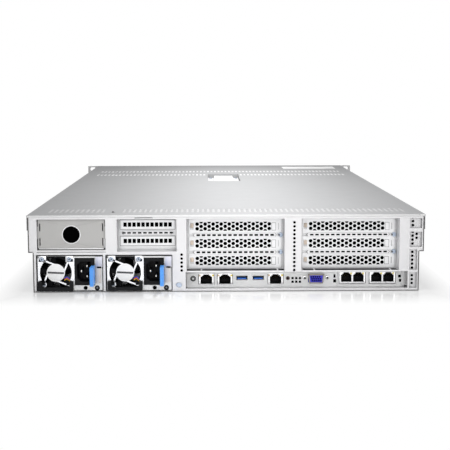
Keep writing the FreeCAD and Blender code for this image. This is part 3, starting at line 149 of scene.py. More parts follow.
class EffectGroup:
    """A shader node group with named inputs and outputs, built once and shared by materials."""

    name: str = "Effect"

    def __init__(self) -> None:
        """Makes the empty group, then lets the subclass fill it."""
        self.tree = bpy.data.node_groups.new(self.name, "ShaderNodeTree")
        self.entry = add_node(self.tree, "NodeGroupInput")
        self.exit = add_node(self.tree, "NodeGroupOutput")
        self.build()

    def build(self) -> None:
        """Fills the group. Subclasses say how."""
        raise NotImplementedError

    def take(self, name: str, kind: str, default: object) -> bpy.types.NodeSocket:
        """Adds a named input and returns the socket that brings it into the group.

        Args:
            name: Name of the input.
            kind: Socket type, such as NodeSocketFloat.
            default: Value it has when nothing is set.

        Returns:
            The output of the group's entry node for that input.
        """
        socket = self.tree.interface.new_socket(name=name, in_out="INPUT", socket_type=kind)
        socket.default_value = default
        return self.entry.outputs[name]

    def give(self, name: str, kind: str, source: bpy.types.NodeSocket) -> None:
        """Adds a named output of a socket type, fed by a socket of the group."""
        self.tree.interface.new_socket(name=name, in_out="OUTPUT", socket_type=kind)
        self.tree.links.new(source, self.exit.inputs[name])

    def place(self, tree: bpy.types.NodeTree, **values: object) -> bpy.types.Node:
        """Places the group in a material's tree with its own input values, and gives its node."""
        node = add_node(tree, "ShaderNodeGroup", node_tree=self.tree)
        return set_inputs(node, **values)

    def maths(self, operation: str, *values: object) -> bpy.types.NodeSocket:
        """Adds one sum to the group, and gives its result."""
        return add_sum(self.tree, operation, *values)

    def noise(self, stretch: Point, scale: object, detail: float) -> bpy.types.NodeSocket:
        """Adds a noise pattern on Object coordinates.

        Args:
            stretch: Scale of the pattern along each axis.
            scale: Size of the noise, a number or a socket.
            detail: How many finer layers the noise has.

        Returns:
            The noise's value, from 0 to 1.
        """
        place = add_node(self.tree, "ShaderNodeTexCoord").outputs["Object"]
        mapping = set_inputs(add_node(self.tree, "ShaderNodeMapping"), Vector=place, Scale=stretch)
        pattern = add_node(self.tree, "ShaderNodeTexNoise")
        set_inputs(pattern, Vector=mapping.outputs[0], Scale=scale, Detail=detail)
        return pattern.outputs[0]

    def shaded(self, colour: bpy.types.NodeSocket, factor: bpy.types.NodeSocket,
               depth: object) -> bpy.types.NodeSocket:
        """Darkens a colour by a pattern.

        Args:
            colour: Colour to darken.
            factor: Pattern from 0 to 1, where 1 is left as it is.
            depth: How much of the colour the pattern may take away.

        Returns:
            The darkened colour's socket.
        """
        kept = self.maths("SUBTRACT", 1.0, self.maths(
            "MULTIPLY", self.maths("SUBTRACT", 1.0, factor), depth))
        scaled = add_node(self.tree, "ShaderNodeVectorMath", operation="SCALE")
        self.tree.links.new(colour, scaled.inputs[0])
        self.tree.links.new(kept, scaled.inputs["Scale"])
        return scaled.outputs[0]


class SheetGrain(EffectGroup):
    """Fine rolling grain along one direction, with slow mottling of the zinc."""

    name = "Sheet grain"

    def build(self) -> None:
        """Adds streaks and mottling, and gives a colour, a roughness and a height."""
        colour = self.take("Colour", "NodeSocketColor", (0.8, 0.8, 0.8, 1.0))
        streaks = self.take("Streaks", "NodeSocketFloat", 0.1)
        mottling = self.take("Mottling", "NodeSocketFloat", 0.1)
        roughness = self.take("Roughness", "NodeSocketFloat", 0.4)
        fine = self.noise((1.0, 12.0, 12.0), 260.0, 2.0)
        slow = self.noise((1.0, 1.0, 1.0), 45.0, 3.0)
        streaked = self.shaded(colour, fine, streaks)
        self.give("Colour", "NodeSocketColor", self.shaded(streaked, slow, mottling))
        spread = self.maths("MULTIPLY_ADD", self.maths("SUBTRACT", fine, 0.5), 0.25, roughness)
        self.give("Roughness", "NodeSocketFloat", spread)
        self.give("Height", "NodeSocketFloat", fine)


class ErodedSkin(EffectGroup):
    """The fine, even pits that a spark-eroded mould or sprayed paint leaves."""

    name = "Eroded skin"

    def build(self) -> None:
        """Adds two sizes of pits, and gives a colour, a roughness and a height."""
        colour = self.take("Colour", "NodeSocketColor", (0.1, 0.1, 0.1, 1.0))
        grain = self.take("Grain", "NodeSocketFloat", 1500.0)
        variation = self.take("Variation", "NodeSocketFloat", 0.15)
        roughness = self.take("Roughness", "NodeSocketFloat", 0.5)
        pits = self.noise((1.0, 1.0, 1.0), grain, 2.0)
        slow = self.noise((1.0, 1.0, 1.0), 60.0, 2.0)
        self.give("Colour", "NodeSocketColor", self.shaded(colour, slow, variation))
        self.give("Roughness", "NodeSocketFloat", self.maths(
            "MULTIPLY_ADD", self.maths("SUBTRACT", slow, 0.5), 0.2, roughness))
        self.give("Height", "NodeSocketFloat", pits)


class CreviceShade(EffectGroup):
    """Paints shade into the corners, darkening them where ambient occlusion finds them."""

    name = "Crevice shade"

    def build(self) -> None:
        """Adds an occlusion mask over a short reach, and gives the colour with painted shade in its
        corners.
        """
        colour = self.take("Colour", "NodeSocketColor", (0.8, 0.8, 0.8, 1.0))
        depth = self.take("Depth", "NodeSocketFloat", 0.4)
        occlusion = add_node(self.tree, "ShaderNodeAmbientOcclusion", samples=4)
        set_inputs(occlusion, Distance=4 * MM)
        self.give("Colour", "NodeSocketColor", self.shaded(colour, occlusion.outputs["AO"], depth))


class WornEdges(EffectGroup):
    """Lightens the outer edges, where handling has polished them."""

    name = "Worn edges"

    def build(self) -> None:
        """Compares the rounded and the true normal, and gives the worn colour."""
        colour = self.take("Colour", "NodeSocketColor", (0.1, 0.1, 0.1, 1.0))
        worn = self.take("Worn colour", "NodeSocketColor", (0.6, 0.6, 0.6, 1.0))
        amount = self.take("Amount", "NodeSocketFloat", 0.5)
        rounded = add_node(self.tree, "ShaderNodeBevel", samples=4)
        set_inputs(rounded, Radius=0.4 * MM)
        true = add_node(self.tree, "ShaderNodeNewGeometry")
        compare = add_node(self.tree, "ShaderNodeVectorMath", operation="DOT_PRODUCT")
        self.tree.links.new(rounded.outputs[0], compare.inputs[0])
        self.tree.links.new(true.outputs["True Normal"], compare.inputs[1])
        turned = self.maths("SUBTRACT", 1.0, compare.outputs["Value"])
        patchy = self.maths("MULTIPLY", turned, self.noise((1.0, 1.0, 1.0), 350.0, 2.0))
        mask = self.maths("MINIMUM", self.maths("MULTIPLY", patchy, self.maths(
            "MULTIPLY", amount, 8.0)), 1.0)
        mix = add_node(self.tree, "ShaderNodeMix", data_type="RGBA")
        self.tree.links.new(mask, mix.inputs[0])
        self.tree.links.new(colour, mix.inputs[6])
        self.tree.links.new(worn, mix.inputs[7])
        self.give("Colour", "NodeSocketColor", mix.outputs[2])


class BoardTracks(EffectGroup):
    """Copper tracks and pads that show through a board's solder mask."""

    name = "Board tracks"

    def build(self) -> None:
        """Adds a staggered pattern of tracks, and gives its colour and height."""
        mask = self.take("Mask colour", "NodeSocketColor", (0.02, 0.14, 0.07, 1.0))
        track = self.take("Track colour", "NodeSocketColor", (0.05, 0.28, 0.13, 1.0))
        place = add_node(self.tree, "ShaderNodeTexCoord").outputs["Object"]
        bricks = add_node(self.tree, "ShaderNodeTexBrick", offset=0.37)
        set_inputs(bricks, Vector=place, Scale=90.0, Mortar_Size=0.06, Brick_Width=1.3,
                   Row_Height=0.21)
        for name, socket in (("Color1", mask), ("Color2", mask), ("Mortar", track)):
            self.tree.links.new(socket, bricks.inputs[name])
        self.give("Colour", "NodeSocketColor", bricks.outputs["Color"])
        self.give("Height", "NodeSocketFloat", bricks.outputs["Fac"])


@dataclass(frozen=True)
class Effects:
    """The node groups that the finishes share."""

    grain: SheetGrain = field(default_factory=SheetGrain)
    skin: ErodedSkin = field(default_factory=ErodedSkin)
    corner_shade: CreviceShade = field(default_factory=CreviceShade)
    worn: WornEdges = field(default_factory=WornEdges)
    tracks: BoardTracks = field(default_factory=BoardTracks)


EFFECTS = Effects()


@dataclass(frozen=True)
class Finish:
    """One finish: its colour and gloss, and how much detail its surface shows.

    Attributes:
        name: Name of the material.
        colour: Its colour, in linear light.
        texture: The surface detail it shows close up.
        roughness: How dull it is, from 0 to 1.
        metallic: 1 for bare metal.
        streaks: How strongly rolled grain shows.
        mottling: How strongly slow patches show.
        relief: Height of the grain, in metres.
        corner_shade: How dark the painted shade makes the corners.
        wear: How much the edges are polished.
        worn_colour: Colour that wear brings out.
        specular: Strength of the mirror-like part on plastic and paint.
        slot: Name of the material slot that it belongs to; it is not used.
    """

    name: str
    colour: Colour
    texture: Texture
    roughness: float = 0.5
    metallic: float = 0.0
    streaks: float = 0.10
    mottling: float = 0.10
    relief: float = 0.01 * MM
    corner_shade: float = 0.35
    wear: float = 0.0
    worn_colour: Colour = (0.7, 0.7, 0.7)
    specular: float = 0.5
    slot: str = "zinc_steel"

    def material(self) -> bpy.types.Material:
        """Makes the finish's material once, and gives the same one after that.

        Returns:
            The material.
        """
        ready = bpy.data.materials.get(self.name)
        if ready:
            return ready
        made = bpy.data.materials.new(self.name)
        made.use_nodes = True
        tree = made.node_tree
        shader = tree.nodes["Principled BSDF"]
        shader.inputs["Metallic"].default_value = self.metallic
        shader.inputs["Specular IOR Level"].default_value = self.specular
        if self.texture is Texture.LAMP:
            self._light(tree, shader)
        else:
            self._surface(tree, shader)
        return made

    def _surface(self, tree: bpy.types.NodeTree, shader: bpy.types.Node) -> None:
        """Feeds the shader with the finish's pattern, wear, painted corner shade and grain.

        Args:
            tree: Node tree of the material.
            shader: Its surface shader.
        """
        pattern = self._pattern(tree)
        surface = pattern.outputs["Colour"]
        if self.wear:
            surface = EFFECTS.worn.place(
                tree, Colour=surface, Worn_colour=(*self.worn_colour, 1.0),
                Amount=self.wear).outputs[0]
        # Painted shade: ambient occlusion darkens the finish's corners.
        if self.corner_shade:
            surface = EFFECTS.corner_shade.place(tree, Colour=surface, Depth=self.corner_shade).outputs[0]
        tree.links.new(surface, shader.inputs["Base Color"])
        if "Roughness" in pattern.outputs:
            tree.links.new(pattern.outputs["Roughness"], shader.inputs["Roughness"])
        else:
            shader.inputs["Roughness"].default_value = self.roughness
        bump = add_node(tree, "ShaderNodeBump")
        set_inputs(bump, Height=pattern.outputs["Height"], Distance=self.relief)
        tree.links.new(bump.outputs[0], shader.inputs["Normal"])

    def _pattern(self, tree: bpy.types.NodeTree) -> bpy.types.Node:
        """Places the group that draws this finish's grain.

        Args:
            tree: Node tree of the material.

        Returns:
            The placed group node.
        """
        colour = (*self.colour, 1.0)
        if self.texture is Texture.BOARD:
            return EFFECTS.tracks.place(tree, Mask_colour=colour)
        if self.texture in (Texture.ROLLED, Texture.TURNED):
            return EFFECTS.grain.place(tree, Colour=colour, Streaks=self.streaks,
                                       Mottling=self.mottling, Roughness=self.roughness)
        return EFFECTS.skin.place(tree, Colour=colour, Variation=self.mottling,
                                  Roughness=self.roughness)

    def _light(self, tree: bpy.types.NodeTree, shader: bpy.types.Node) -> None:
        """Makes the material a lens that is lit from behind.

        Args:
            tree: Node tree of the material.
            shader: Its surface shader.
        """
        pattern = self._pattern(tree)
        for name in ("Base Color", "Emission Color"):
            tree.links.new(pattern.outputs["Colour"], shader.inputs[name])
        tree.links.new(pattern.outputs["Roughness"], shader.inputs["Roughness"])
        shader.inputs["Emission Strength"].default_value = 0.35


ZINC = Finish("zinc_plated_sheet", (0.80, 0.80, 0.81), Texture.ROLLED, roughness=0.42,
              metallic=0.55, corner_shade=0.5)
REAR_ZINC = Finish("zinc_plated_rear", (0.70, 0.695, 0.705), Texture.ROLLED, roughness=0.42,
                   metallic=0.5, corner_shade=0.5)
LID_ZINC = Finish("zinc_plated_lid", (0.44, 0.442, 0.448), Texture.ROLLED, metallic=0.05,
                  streaks=0.12, mottling=0.06, corner_shade=0.15, specular=0.0)
BLANK_ZINC = Finish("dull_blank_plate", (0.48, 0.475, 0.465), Texture.ROLLED, metallic=0.5)
EAR_PAINT = Finish("grey_ear_paint", (0.50, 0.50, 0.50), Texture.PAINTED, roughness=0.45,
                   metallic=0.2)
SUPPLY_SHEET = Finish("supply_case_sheet", (0.62, 0.62, 0.62), Texture.ROLLED, roughness=0.4,
                      metallic=0.7)
BLACK_PLASTIC = Finish("black_moulding", (0.008, 0.008, 0.009), Texture.MOULDED, roughness=0.45,
                       wear=0.15, worn_colour=(0.05, 0.05, 0.05), specular=0.12)
BLUE_PLASTIC = Finish("blue_touch_plastic", (0.09, 0.37, 0.98), Texture.MOULDED, roughness=0.35,
                      wear=0.35, worn_colour=(0.25, 0.50, 0.95), corner_shade=0.2)
FAN_PLASTIC = Finish("fan_moulding", (0.004, 0.004, 0.005), Texture.MOULDED, specular=0.06)
SINK_ALUMINIUM = Finish("sink_aluminium", (0.62, 0.62, 0.64), Texture.ROLLED, roughness=0.35,
                        metallic=1.0)
BEZEL_PLASTIC = Finish("drive_bezel", (0.030, 0.031, 0.034), Texture.MOULDED, wear=0.2,
                       worn_colour=(0.15, 0.15, 0.15))
LEVER_PLASTIC = Finish("lever_grey", (0.22, 0.23, 0.25), Texture.MOULDED, roughness=0.4, wear=0.3,
                       worn_colour=(0.5, 0.5, 0.52))
PORT_METAL = Finish("plated_port_shell", (0.72, 0.72, 0.73), Texture.TURNED, roughness=0.25,
                    metallic=1.0)
VIDEO_BLUE = Finish("video_socket_blue", (0.04, 0.04, 0.85), Texture.MOULDED, roughness=0.4)
BOARD_GREEN = Finish("board_mask_green", (0.02, 0.12, 0.06), Texture.BOARD, roughness=0.4)

WHITE_LABEL = Finish("hub_label_white", (0.95, 0.95, 0.95), Texture.PAINTED, mottling=0.03,
                     corner_shade=0.0, slot="fan_plastic")
LABEL_BAR = Finish("hub_label_bar", (0.07, 0.07, 0.075), Texture.PAINTED, corner_shade=0.2,
                   slot="fan_plastic")
GUARD_STEEL = Finish("fan_guard_steel", (0.74, 0.75, 0.78), Texture.TURNED, roughness=0.28,
                     metallic=0.85, slot="port_metal")
SCREW_STEEL = Finish("screw_steel", (0.40, 0.46, 0.56), Texture.TURNED, roughness=0.3,
                     metallic=0.7, corner_shade=0.6, slot="port_metal")
LAVENDER_BLOCK = Finish("lavender_block", (0.66, 0.66, 0.74), Texture.ROLLED, roughness=0.4,
                        metallic=0.3, slot="supply_sheet")
BEIGE_BLOCK = Finish("beige_block", (0.70, 0.63, 0.57), Texture.MOULDED, slot="supply_sheet")
BEIGE_PAD = Finish("beige_pad", (0.78, 0.66, 0.55), Texture.MOULDED, roughness=0.55,
                   slot="black_plastic")
# Painted shade: a flat black put into holes, slots, gaps and recesses for the darkness inside them.
HOLE_SHADE = Finish("painted_hole_shade", (0.002, 0.002, 0.002), Texture.HOLLOW, roughness=0.9, corner_shade=0.0,
                   specular=0.0, slot="black_plastic")
CONTACT_GOLD = Finish("contact_gold", (0.75, 0.52, 0.20), Texture.TURNED, roughness=0.25,
                      metallic=1.0, slot="port_metal")
CONTACT_NICKEL = Finish("contact_nickel", (0.80, 0.78, 0.72), Texture.TURNED, roughness=0.2,
                        metallic=1.0, slot="port_metal")
YELLOW_LENS = Finish("yellow_lens", (0.72, 0.56, 0.06), Texture.LAMP, roughness=0.3,
                     slot="port_metal")
AMBER_LENS = Finish("amber_lens", (0.55, 0.42, 0.28), Texture.LAMP, roughness=0.3,
                    slot="port_metal")
USB_BLUE = Finish("usb_tongue_blue", (0.01, 0.20, 1.0), Texture.MOULDED, roughness=0.35, corner_shade=0.1,
                  slot="blue_plastic")
LABEL_PAPER = Finish("plain_label", (0.80, 0.80, 0.80), Texture.PAINTED, roughness=0.6,
                     mottling=0.04, corner_shade=0.0, slot="lid_steel")
WIRE_BLUE = Finish("wire_blue", (0.03, 0.08, 0.55), Texture.MOULDED, roughness=0.4,
                   slot="blue_plastic")
WIRE_RED = Finish("wire_red", (0.60, 0.03, 0.03), Texture.MOULDED, roughness=0.4,
                  slot="black_plastic")
WIRE_YELLOW = Finish("wire_yellow", (0.75, 0.50, 0.05), Texture.MOULDED, roughness=0.4,
                     slot="black_plastic")

SOCKET_BLACK = Finish("socket_black", (0.012, 0.012, 0.013), Texture.MOULDED, corner_shade=0.0,
                      specular=0.08, slot="black_plastic")
# Painted shade: dark lines where shade falls along seams, gaps and folds.
SHADE_LINE = Finish("painted_shade_line", (0.09, 0.09, 0.095), Texture.ROLLED, metallic=0.3,
                    slot="zinc_steel")
VIDEO_SHELL = Finish("video_shell_steel", (0.30, 0.27, 0.23), Texture.TURNED, roughness=0.35,
                     metallic=0.8, slot="port_metal")
BROWN_RIM = Finish("brown_rim", (0.16, 0.10, 0.09), Texture.MOULDED, slot="black_plastic")
# Bright sheet of the lever and the button; it also lays the painted highlight on the lid's rear
# lip.
BRIGHT_SHEET = Finish("bright_sheet", (0.86, 0.86, 0.86), Texture.ROLLED, roughness=0.45,
                      metallic=0.1, corner_shade=0.0, slot="lid_steel")

RELEASE_BLUE = Finish("release_blue", (0.05, 0.16, 0.42), Texture.MOULDED, roughness=0.4, wear=0.3,
                      worn_colour=(0.3, 0.4, 0.6), slot="blue_plastic")
PIPE_LENS = Finish("light_pipe_lens", (0.62, 0.66, 0.62), Texture.MOULDED, roughness=0.2, corner_shade=0.2,
                   slot="port_metal")
# Painted light: a brighter copy of the zinc without corner shade, so that the recessed port plates
# look as lit as the open wall.
LIT_PORT_PLATE = Finish("port_plate_painted_light", (1.0, 1.0, 1.0), Texture.ROLLED, roughness=0.45,
                   metallic=0.15, streaks=0.06, mottling=0.04, corner_shade=0.0)
# A lighter copy of the lid's sheet: painted highlight on the lid's louvres; the lever recess's
# floor uses it too.
LOUVRE_SHEET = Finish("louvre_sheet", (0.74, 0.74, 0.745), Texture.ROLLED, metallic=0.05, corner_shade=0.0,
                      specular=0.0, slot="lid_steel")
# A lighter copy of the lid's sheet: painted light in the lid's rear slots.
SLOT_SHEET = Finish("slot_sheet", (0.56, 0.56, 0.565), Texture.ROLLED, metallic=0.05, corner_shade=0.0,
                    specular=0.0, slot="lid_steel")
RING_BLACK = Finish("ring_black", (0.035, 0.035, 0.037), Texture.MOULDED, corner_shade=0.1, specular=0.2,
                    slot="black_plastic")
EDGE_SHADE = Finish("edge_shade", (0.11, 0.105, 0.105), Texture.ROLLED, metallic=0.2, corner_shade=0.0,
                    specular=0.2)

NODE_FINISHES = {
    REAR_ZINC: ("rear_panel",),
    ZINC: ("chassis_tray", "drive_cage", "fan_cage", "riser_cage_centre",
           "riser_cage_left", "riser_cage_right", "slot_covers"),
    LIT_PORT_PLATE: ("io_bracket", "nic_bracket"),
    LID_ZINC: ("lid", "front_top_cover"),
    BLANK_ZINC: ("bay_blank_plate",),
    EAR_PAINT: ("rack_ears",),
    SUPPLY_SHEET: ("supply_1_case", "supply_2_case"),
    BLACK_PLASTIC: ("air_shroud", "supply_1_inlet", "supply_2_inlet", "supply_1_handle",
                    "supply_2_handle"),
    BLUE_PLASTIC: ("supply_1_latch", "supply_2_latch"),
    FAN_PLASTIC: ("fan_frames", "fan_1_rotor", "fan_2_rotor", "fan_3_rotor", "fan_4_rotor",
                  "supply_1_rotor", "supply_2_rotor", "supply_1_fan_frame",
                  "supply_2_fan_frame"),
    SINK_ALUMINIUM: ("cpu_heatsinks",),
    BEZEL_PLASTIC: tuple(f"drive_carrier_{number}" for number in range(1, 9)),
    BRIGHT_SHEET: ("lid_lever", "uid_button"),
    LEVER_PLASTIC: ("power_button",
                    *(f"carrier_lever_{number}" for number in range(1, 9))),
    PORT_METAL: ("network_jacks", "usb_ports"),
    SCREW_STEEL: ("rail_studs_and_screws",),
    VIDEO_BLUE: ("video_port",),
    BOARD_GREEN: ("drive_backplane", "motherboard", "memory_modules", "riser_cards"),
}


def dress_nodes() -> None:
    """Gives each CAD node its finish, and softens its edges."""
    for finish, names in NODE_FINISHES.items():
        for name in names:
            node = frame["nodes"][name]
            node.data.materials.clear()
            node.data.materials.append(finish.material())
            weld = node.modifiers.new("Weld", "WELD")
            weld.merge_threshold = 0.002 * MM
            soften = node.modifiers.new("Soft edges", "BEVEL")
            soften.width = 0.15 * MM
            soften.segments = 1
            soften.limit_method = "ANGLE"
            soften.angle_limit = math.radians(40)
            LOG.info("dressed %s in %s", name, finish.name)


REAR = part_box("rear_panel")[0].y


class Workpiece:
    """A new piece in the making: shapes in one mesh that end up as one object in its place."""

    def __init__(self, name: str) -> None:
        """Starts with nothing in the mesh.

        Args:
            name: Name of the finished object.
        """
        self.name = name
        self.shape = bmesh.new()

    def soften(self, verts: list[bmesh.types.BMVert], width: float, segments: int = 2) -> None:
        """Bevels the sharp edges between some corners.

        Args:
            verts: Corners whose edges are bevelled.
            width: Width of the bevel, in metres.
            segments: How many faces round each edge.
        """
        kept = set(verts)
        edges = {edge for vert in verts for edge in vert.link_edges
                 if kept.issuperset(edge.verts) and edge.calc_face_angle(0.0) > 0.5}
        bmesh.ops.bevel(self.shape, geom=list(edges), offset=width, offset_type="OFFSET",
                        segments=segments, profile=0.5, affect="EDGES", clamp_overlap=True,
                        material=-1)

    def block(self, low: Point, high: Point, rounded: float = 0.0) -> list[bmesh.types.BMVert]:
        """Adds a block between two corners.

        Args:
            low: Its lowest corner.
            high: Its highest corner.
            rounded: Width of the bevel along its edges.

        Returns:
            The block's corners, before the bevel.
        """
        size = Vector(high) - Vector(low)
        place = Matrix.Translation((Vector(low) + Vector(high)) / 2)
        made = bmesh.ops.create_cube(self.shape, size=1.0,
                                     matrix=place @ Matrix.Diagonal((*size, 1.0)))
        verts = made["verts"]
        if rounded:
            self.soften(verts, rounded)
        return verts

    def drum(self, centre: Point, radius: float, depth: float, segments: int = 32,
             axis: Axis = Axis.Y, far_radius: float | None = None,
             rounded: float = 0.0) -> list[bmesh.types.BMVert]:
        """Adds a round or many-sided drum, or a cone.

        Args:
            centre: Middle of the drum.
            radius: Its radius, at its low end.
            depth: Its length along the axis.
            segments: How many sides it has.
            axis: Direction of its length.
            far_radius: Radius at the high end, where it differs.
            rounded: Width of the bevel round its two rims.

        Returns:
            The drum's corners, before the bevel.
        """
        made = bmesh.ops.create_cone(
            self.shape, cap_ends=True, segments=segments, radius1=radius,
            radius2=radius if far_radius is None else far_radius, depth=depth,
            matrix=Matrix.Translation(centre) @ axis.turn())
        verts = made["verts"]
        if rounded:
            self.soften(verts, rounded)
        return verts

    def arc(self, centre: Point, inner: float, outer: float, span: tuple[float, float],
            thick: float, steps: int = 12, squared: bool = False) -> None:
        """Spins a flat band round an axis along Y.

        Args:
            centre: Point of the axis, in the middle of the band's thickness.
            inner: Inner radius.
            outer: Outer radius.
            span: First angle and sweep, in degrees, from +X towards +Z.
            thick: Thickness along Y.
            steps: How many faces along the arc.
            squared: Whether the outer edge is pushed out to a square round the axis.
        """
        before = set(self.shape.verts)
        start = Matrix.Rotation(math.radians(-span[0]), 4, "Y")
        place = Matrix.Translation(centre) @ start @ Matrix.Translation(
            ((inner + outer) / 2, 0.0, 0.0)) @ Matrix.Diagonal((outer - inner, thick, 1.0, 1.0))
        made = bmesh.ops.create_grid(self.shape, x_segments=1, y_segments=1, size=0.5,
                                     matrix=place)
        verts = made["verts"]
        faces = list({face for vert in verts for face in vert.link_faces})
        edges = list({edge for vert in verts for edge in vert.link_edges})
        whole = abs(span[1]) > 359.0
        bmesh.ops.spin(self.shape, geom=verts + edges + faces, cent=centre,
                       axis=(0.0, -1.0, 0.0), angle=math.radians(span[1]), steps=steps,
                       use_merge=whole, use_duplicate=False)
        if squared:
            for vert in set(self.shape.verts) - before:
                across, up = vert.co.x - centre[0], vert.co.z - centre[2]
                reach = math.hypot(across, up)
                if reach > (inner + outer) / 2:
                    push = reach / max(abs(across), abs(up))
                    vert.co.x, vert.co.z = centre[0] + across * push, centre[2] + up * push

    def bar(self, centre: Vector, size: Point, lean: float = 0.0) -> list[bmesh.types.BMVert]:
        """Adds a block round a point, turned in the picture's plane.

        Args:
            centre: Its middle.
            size: Its width, depth and height, before the turn.
            lean: Angle that it is turned by, in degrees.

        Returns:
            The bar's corners.
        """
        half = Vector(size) / 2
        verts = self.block(centre - half, centre + half)
        if lean:
            self.spin(verts, centre, lean)
        return verts

    def sleeve(self, low: Point, high: Point, wall: float) -> None:
        """Adds the four walls of a sleeve that is open along Y.

        Args:
            low: Its lowest outer corner.
            high: Its highest outer corner.
            wall: Thickness of the walls, inwards.
        """
        left, right = low[0] + wall, high[0] - wall
        self.block(low, (left, high[1], high[2]))
        self.block((right, low[1], low[2]), high)
        self.block((left, low[1], low[2]), (right, high[1], low[2] + wall))
        self.block((left, low[1], high[2] - wall), (right, high[1], high[2]))

    def ring(self, centre: Point, inner: float, outer: float, thick: float,
             steps: int = 32) -> None:
        """Adds a flat whole ring round an axis along Y, with its middle at a point."""
        self.arc(centre, inner, outer, (0.0, 360.0), thick, steps)

    def tube(self, points: list[Point], radius: float, sides: int = 8) -> None:
        """Adds a thin bent wire of straight runs with closed ends.

        Args:
            points: Points along the middle of the wire.
            radius: Its radius.
            sides: How many sides it has.
        """
        for start, end in zip(points, points[1:]):
            along = Vector(end) - Vector(start)
            turn = along.to_track_quat("Z", "Y").to_matrix().to_4x4()
            bmesh.ops.create_cone(
                self.shape, cap_ends=True, segments=sides, radius1=radius, radius2=radius,
                depth=along.length,
                matrix=Matrix.Translation((Vector(start) + Vector(end)) / 2) @ turn)

    def spin(self, verts: list[bmesh.types.BMVert], centre: Point, degrees: float,
             axis: Axis = Axis.Y) -> None:
        """Turns some corners about a point by an angle."""
        bmesh.ops.rotate(self.shape, verts=verts, cent=centre,
                         matrix=Matrix.Rotation(math.radians(degrees), 3, axis.value))

    def finish(self, finish: Finish, body: str = "chassis") -> bpy.types.Object:
        """Makes the object, gives it its finish and lets it ride on a body.

        Args:
            finish: Finish of the piece.
            body: CAD body that the piece moves with.

        Returns:
            The finished object.
        """
        bmesh.ops.recalc_face_normals(self.shape, faces=self.shape.faces)
        mesh = bpy.data.meshes.new(self.name)
        self.shape.to_mesh(mesh)
        self.shape.free()
        for polygon in mesh.polygons:
            polygon.use_smooth = True
        mesh.set_sharp_from_angle(angle=math.radians(35.0))
        mesh.materials.append(finish.material())
        made = bpy.data.objects.new(self.name, mesh)
        bpy.context.scene.collection.objects.link(made)
        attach(made, body)
        LOG.info("built %s on %s", self.name, body)
        return made


